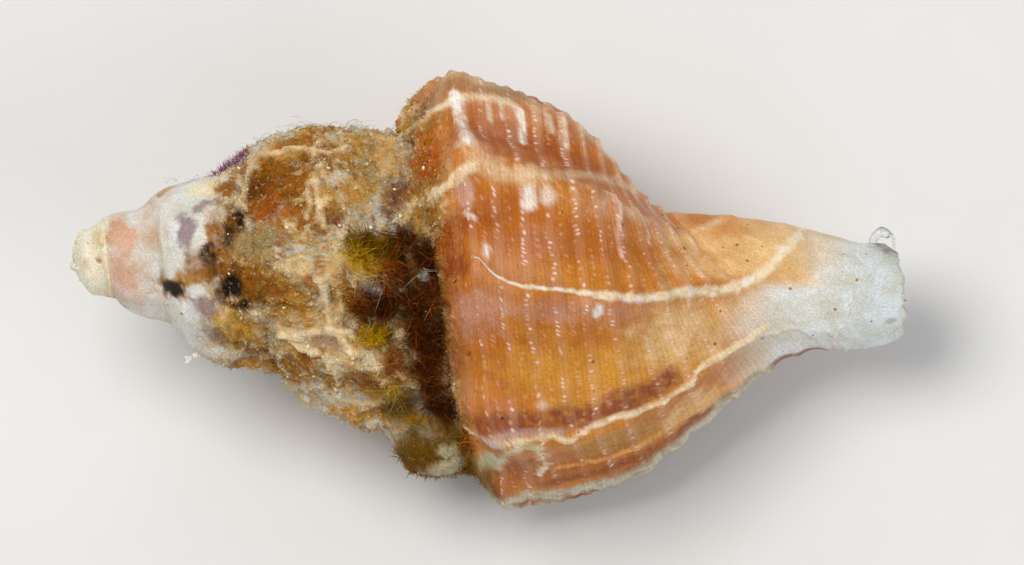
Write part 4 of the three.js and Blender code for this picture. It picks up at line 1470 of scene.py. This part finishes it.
class KURTZIA_OT_fibres(Operator):
    """Lay the pale fibres along the spire's edge, the white twig and the purple tuft"""

    bl_idname = "kurtzia.fibres"
    bl_label = "Fibres, twig and tuft"

    def execute(self, context):
        self.fibres(np.random.default_rng(8))
        self.twig(np.random.default_rng(9))
        self.tuft(np.random.default_rng(10))
        return {"FINISHED"}

    def fibres(self, dice):
        heap = Heap("kurtzia_fibres")
        pale = linear(colours().fibre)
        for pixels in FIBRES:
            path = curve_through(pixels, dice.uniform(-0.05, 0.12, len(pixels)), 8 * len(pixels))
            heap.thread(path, np.linspace(0.005, 0.003, len(path)), pale)
        for across, down, spread, count in FIBRE_PATCHES:
            for strand in range(count):
                start = np.array((across, down)) + dice.uniform(-spread, spread, 2) * (1, 0.3)
                steps = np.cumsum(dice.normal(0, 4.0, (4, 2)) + (dice.choice((-5, 5)), 0), 0)
                pixels = [start, *(start + steps * (1, 0.6))]
                path = curve_through(pixels, dice.normal(0.05, 0.2) + dice.normal(0, 0.05, 5), 20)
                heap.thread(path, np.linspace(0.0035, 0.002, len(path)), pale, 4)
        heap.finish(growth_material("fibres", 0.45, 0.4, 40))

    def twig(self, dice):
        heap = Heap("kurtzia_twig")
        for pixels, radii in TWIG:
            path = curve_through(pixels, np.linspace(0.1, 0.05, len(pixels)), 20)
            uneven = 1 + 0.1 * np.sin(np.arange(len(path)) * 0.9 + dice.uniform(0, 6))
            heap.thread(path, np.interp(np.linspace(0, 1, len(path)), (0, 0.7, 1), radii) * uneven,
                        linear(colours().chalk), 8)
        heap.finish(growth_material("twig", 0.5, 0.3, 50))

    def tuft(self, dice):
        heap = Heap("kurtzia_tuft")
        grown = form()
        across, down = grown.brush.across, grown.brush.down
        edge = np.interp(across, *zip(*TUFT_LINE))
        near = np.exp(-(((down - edge) / 3.5) ** 2) - (grown.points[:, 2] / 0.16) ** 2)
        near *= smooth(across, 206, 224) * (1 - smooth(across, 238, 254))
        picked = chosen_roots(np.where(grown.inner, 0, near), 1200, dice)
        roots, normals = scattered(grown, picked, dice, 0.01)
        up = -PHOTO_DOWN * 0.7 + PHOTO_RIGHT * 0.4
        headings = unit(0.4 * normals + up * 0.5 + dice.normal(0, 0.5, roots.shape))
        shade = dice.random((len(picked), 1))
        purple = linear(colours().magenta) * (1 - shade) + linear(colours().plum) * shade
        colour_of = varied(purple, dice, 0.3)
        lengths = dice.uniform(0.02, 0.08, len(picked))
        heap.hairs(roots, headings, lengths, dice.uniform(0.003, 0.006, len(picked)), colour_of, 3, dice)
        heap.finish(growth_material("tuft", 0.6, 0.2, 40))


class KURTZIA_OT_clear_grain(Operator):
    """Set the clear grain on the upper edge of the canal"""

    bl_idname = "kurtzia.clear_grain"
    bl_label = "Clear grain"

    def execute(self, context):
        heap = Heap("kurtzia_clear_grain")
        for pixels, radii in CLEAR_GRAIN:
            path = curve_through(pixels, np.full(len(pixels), 0.03), 26)
            share = np.linspace(0, 1, len(path))
            heap.thread(path, np.interp(share, np.linspace(0, 1, len(radii)), radii), (1, 1, 1), 12)
        heap.finish(self.material())
        return {"FINISHED"}

    def material(self):
        m = Nodes("clear_grain")
        clear = m.mix(m.grain(30, 3), (0.93, 0.95, 0.97, 1), (0.82, 0.85, 0.88, 1))
        m.feed(m.shader.inputs["Base Color"], clear)
        m.feed(m.shader.inputs["Roughness"], m.ramp(m.grain(25, 3), 0.3, 0.7, 0.04, 0.22))
        m.feed(m.shader.inputs["Normal"], m.bump(m.grain(28, 3), 0.012 * MM, 0.8))
        m.shader.inputs["Transmission Weight"].default_value = 0.92
        m.shader.inputs["IOR"].default_value = 1.45
        return m.material


# The stage

# Sizes of the stage in metres, and the camera's long lens in millimetres
FLOOR_HALF_SIDE = 0.15
LIGHT_DISTANCE = 0.05
LENS = 700
SENSOR_WIDTH = 36


def light(name, direction, size, power, tint=(1, 1, 1)):
    """A round soft lamp that shines at the shell."""
    lamp = bpy.data.lights.new(name, "AREA")
    lamp.shape, lamp.size, lamp.energy, lamp.color = "DISK", size, power, tint
    made = bpy.data.objects.new(name, lamp)
    bpy.context.scene.collection.objects.link(made)
    made.location = Vector(direction).normalized() * LIGHT_DISTANCE
    made.rotation_euler = (-made.location).to_track_quat("-Z", "Y").to_euler()
    return made


class KURTZIA_OT_stage(Operator):
    """Set up the pale floor, the soft light and the camera at the photograph's angle"""

    bl_idname = "kurtzia.stage"
    bl_label = "Stage"

    def execute(self, context):
        self.floor()
        self.camera(context)
        world = bpy.data.worlds.new("studio")
        world.use_nodes = True
        world.node_tree.nodes["Background"].inputs["Color"].default_value = (0.95, 0.96, 1.0, 1)
        world.node_tree.nodes["Background"].inputs["Strength"].default_value = 0.38
        context.scene.world = world
        context.scene.view_settings.view_transform = "Standard"
        light("key", (-0.3, 0.05, 0.95), 0.03, 0.0165, (1.0, 0.97, 0.92))
        light("fill", (0.8, -0.6, 0.6), 0.04, 0.008, (0.95, 0.97, 1.0))
        light("rim", (0.2, 0.95, 0.35), 0.03, 0.004)
        return {"FINISHED"}

    def floor(self):
        half = FLOOR_HALF_SIDE
        corners = [(-half, -half, 0), (half, -half, 0), (half, half, 0), (-half, half, 0)]
        floor = make_mesh("floor", corners, [(0, 1, 2, 3)])
        m = Nodes("floor")
        plain = m.mix(m.grain(0.5, 3), (0.72, 0.72, 0.71, 1), (0.77, 0.77, 0.76, 1))
        m.feed(m.shader.inputs["Base Color"], plain)
        m.shader.inputs["Roughness"].default_value = 0.8
        floor.data.materials.append(m.material)

    def camera(self, context):
        data = bpy.data.cameras.new("photo_angle")
        data.lens, data.sensor_width, data.clip_start, data.clip_end = LENS, SENSOR_WIDTH, 0.01, 10
        away = data.lens / data.sensor_width * PHOTO_WIDTH * MM_PER_PIXEL * MM
        lies = bed()
        turn = Matrix([lies.direction(PHOTO_RIGHT), lies.direction(-PHOTO_DOWN), lies.direction((0, 0, 1))])
        centre = Vector((lies.turn @ from_photo(PHOTO_WIDTH / 2, PHOTO_HEIGHT / 2) + lies.shift) * MM)
        camera = bpy.data.objects.new("photo_angle", data)
        context.scene.collection.objects.link(camera)
        where = Matrix.Translation(centre + lies.direction((0, 0, 1)) * away)
        camera.matrix_world = where @ turn.transposed().to_4x4()
        context.scene.camera = camera


OPERATORS = (
    KURTZIA_OT_stage, KURTZIA_OT_shell, KURTZIA_OT_weed, KURTZIA_OT_felt, KURTZIA_OT_crumbs,
    KURTZIA_OT_fibres, KURTZIA_OT_clear_grain,
)


class KURTZIA_PT_shell(Panel):
    """Lists the steps that make the shell"""

    bl_idname = "KURTZIA_PT_shell"
    bl_label = "Kurtzia shell"
    bl_space_type = "VIEW_3D"
    bl_region_type = "UI"
    bl_category = "Kurtzia shell"

    def draw(self, context):
        for step in OPERATORS:
            self.layout.operator(step.bl_idname)
        for group in (context.scene.kurtzia_sizes, context.scene.kurtzia_colours):
            for key in group.__annotations__:
                self.layout.prop(group, key)


CLASSES = (KurtziaColours, KurtziaSizes, *OPERATORS, KURTZIA_PT_shell)


def register():
    for kind in CLASSES:
        bpy.utils.register_class(kind)
    bpy.types.Scene.kurtzia_colours = PointerProperty(type=KurtziaColours)
    bpy.types.Scene.kurtzia_sizes = PointerProperty(type=KurtziaSizes)


def unregister():
    del bpy.types.Scene.kurtzia_sizes
    del bpy.types.Scene.kurtzia_colours
    for kind in reversed(CLASSES):
        bpy.utils.unregister_class(kind)


def main():
    register()
    bpy.ops.kurtzia.stage()
    bpy.ops.kurtzia.shell()
    bpy.ops.kurtzia.weed()
    bpy.ops.kurtzia.felt()
    bpy.ops.kurtzia.crumbs()
    bpy.ops.kurtzia.fibres()
    bpy.ops.kurtzia.clear_grain()


if __name__ == "__main__":
    main()
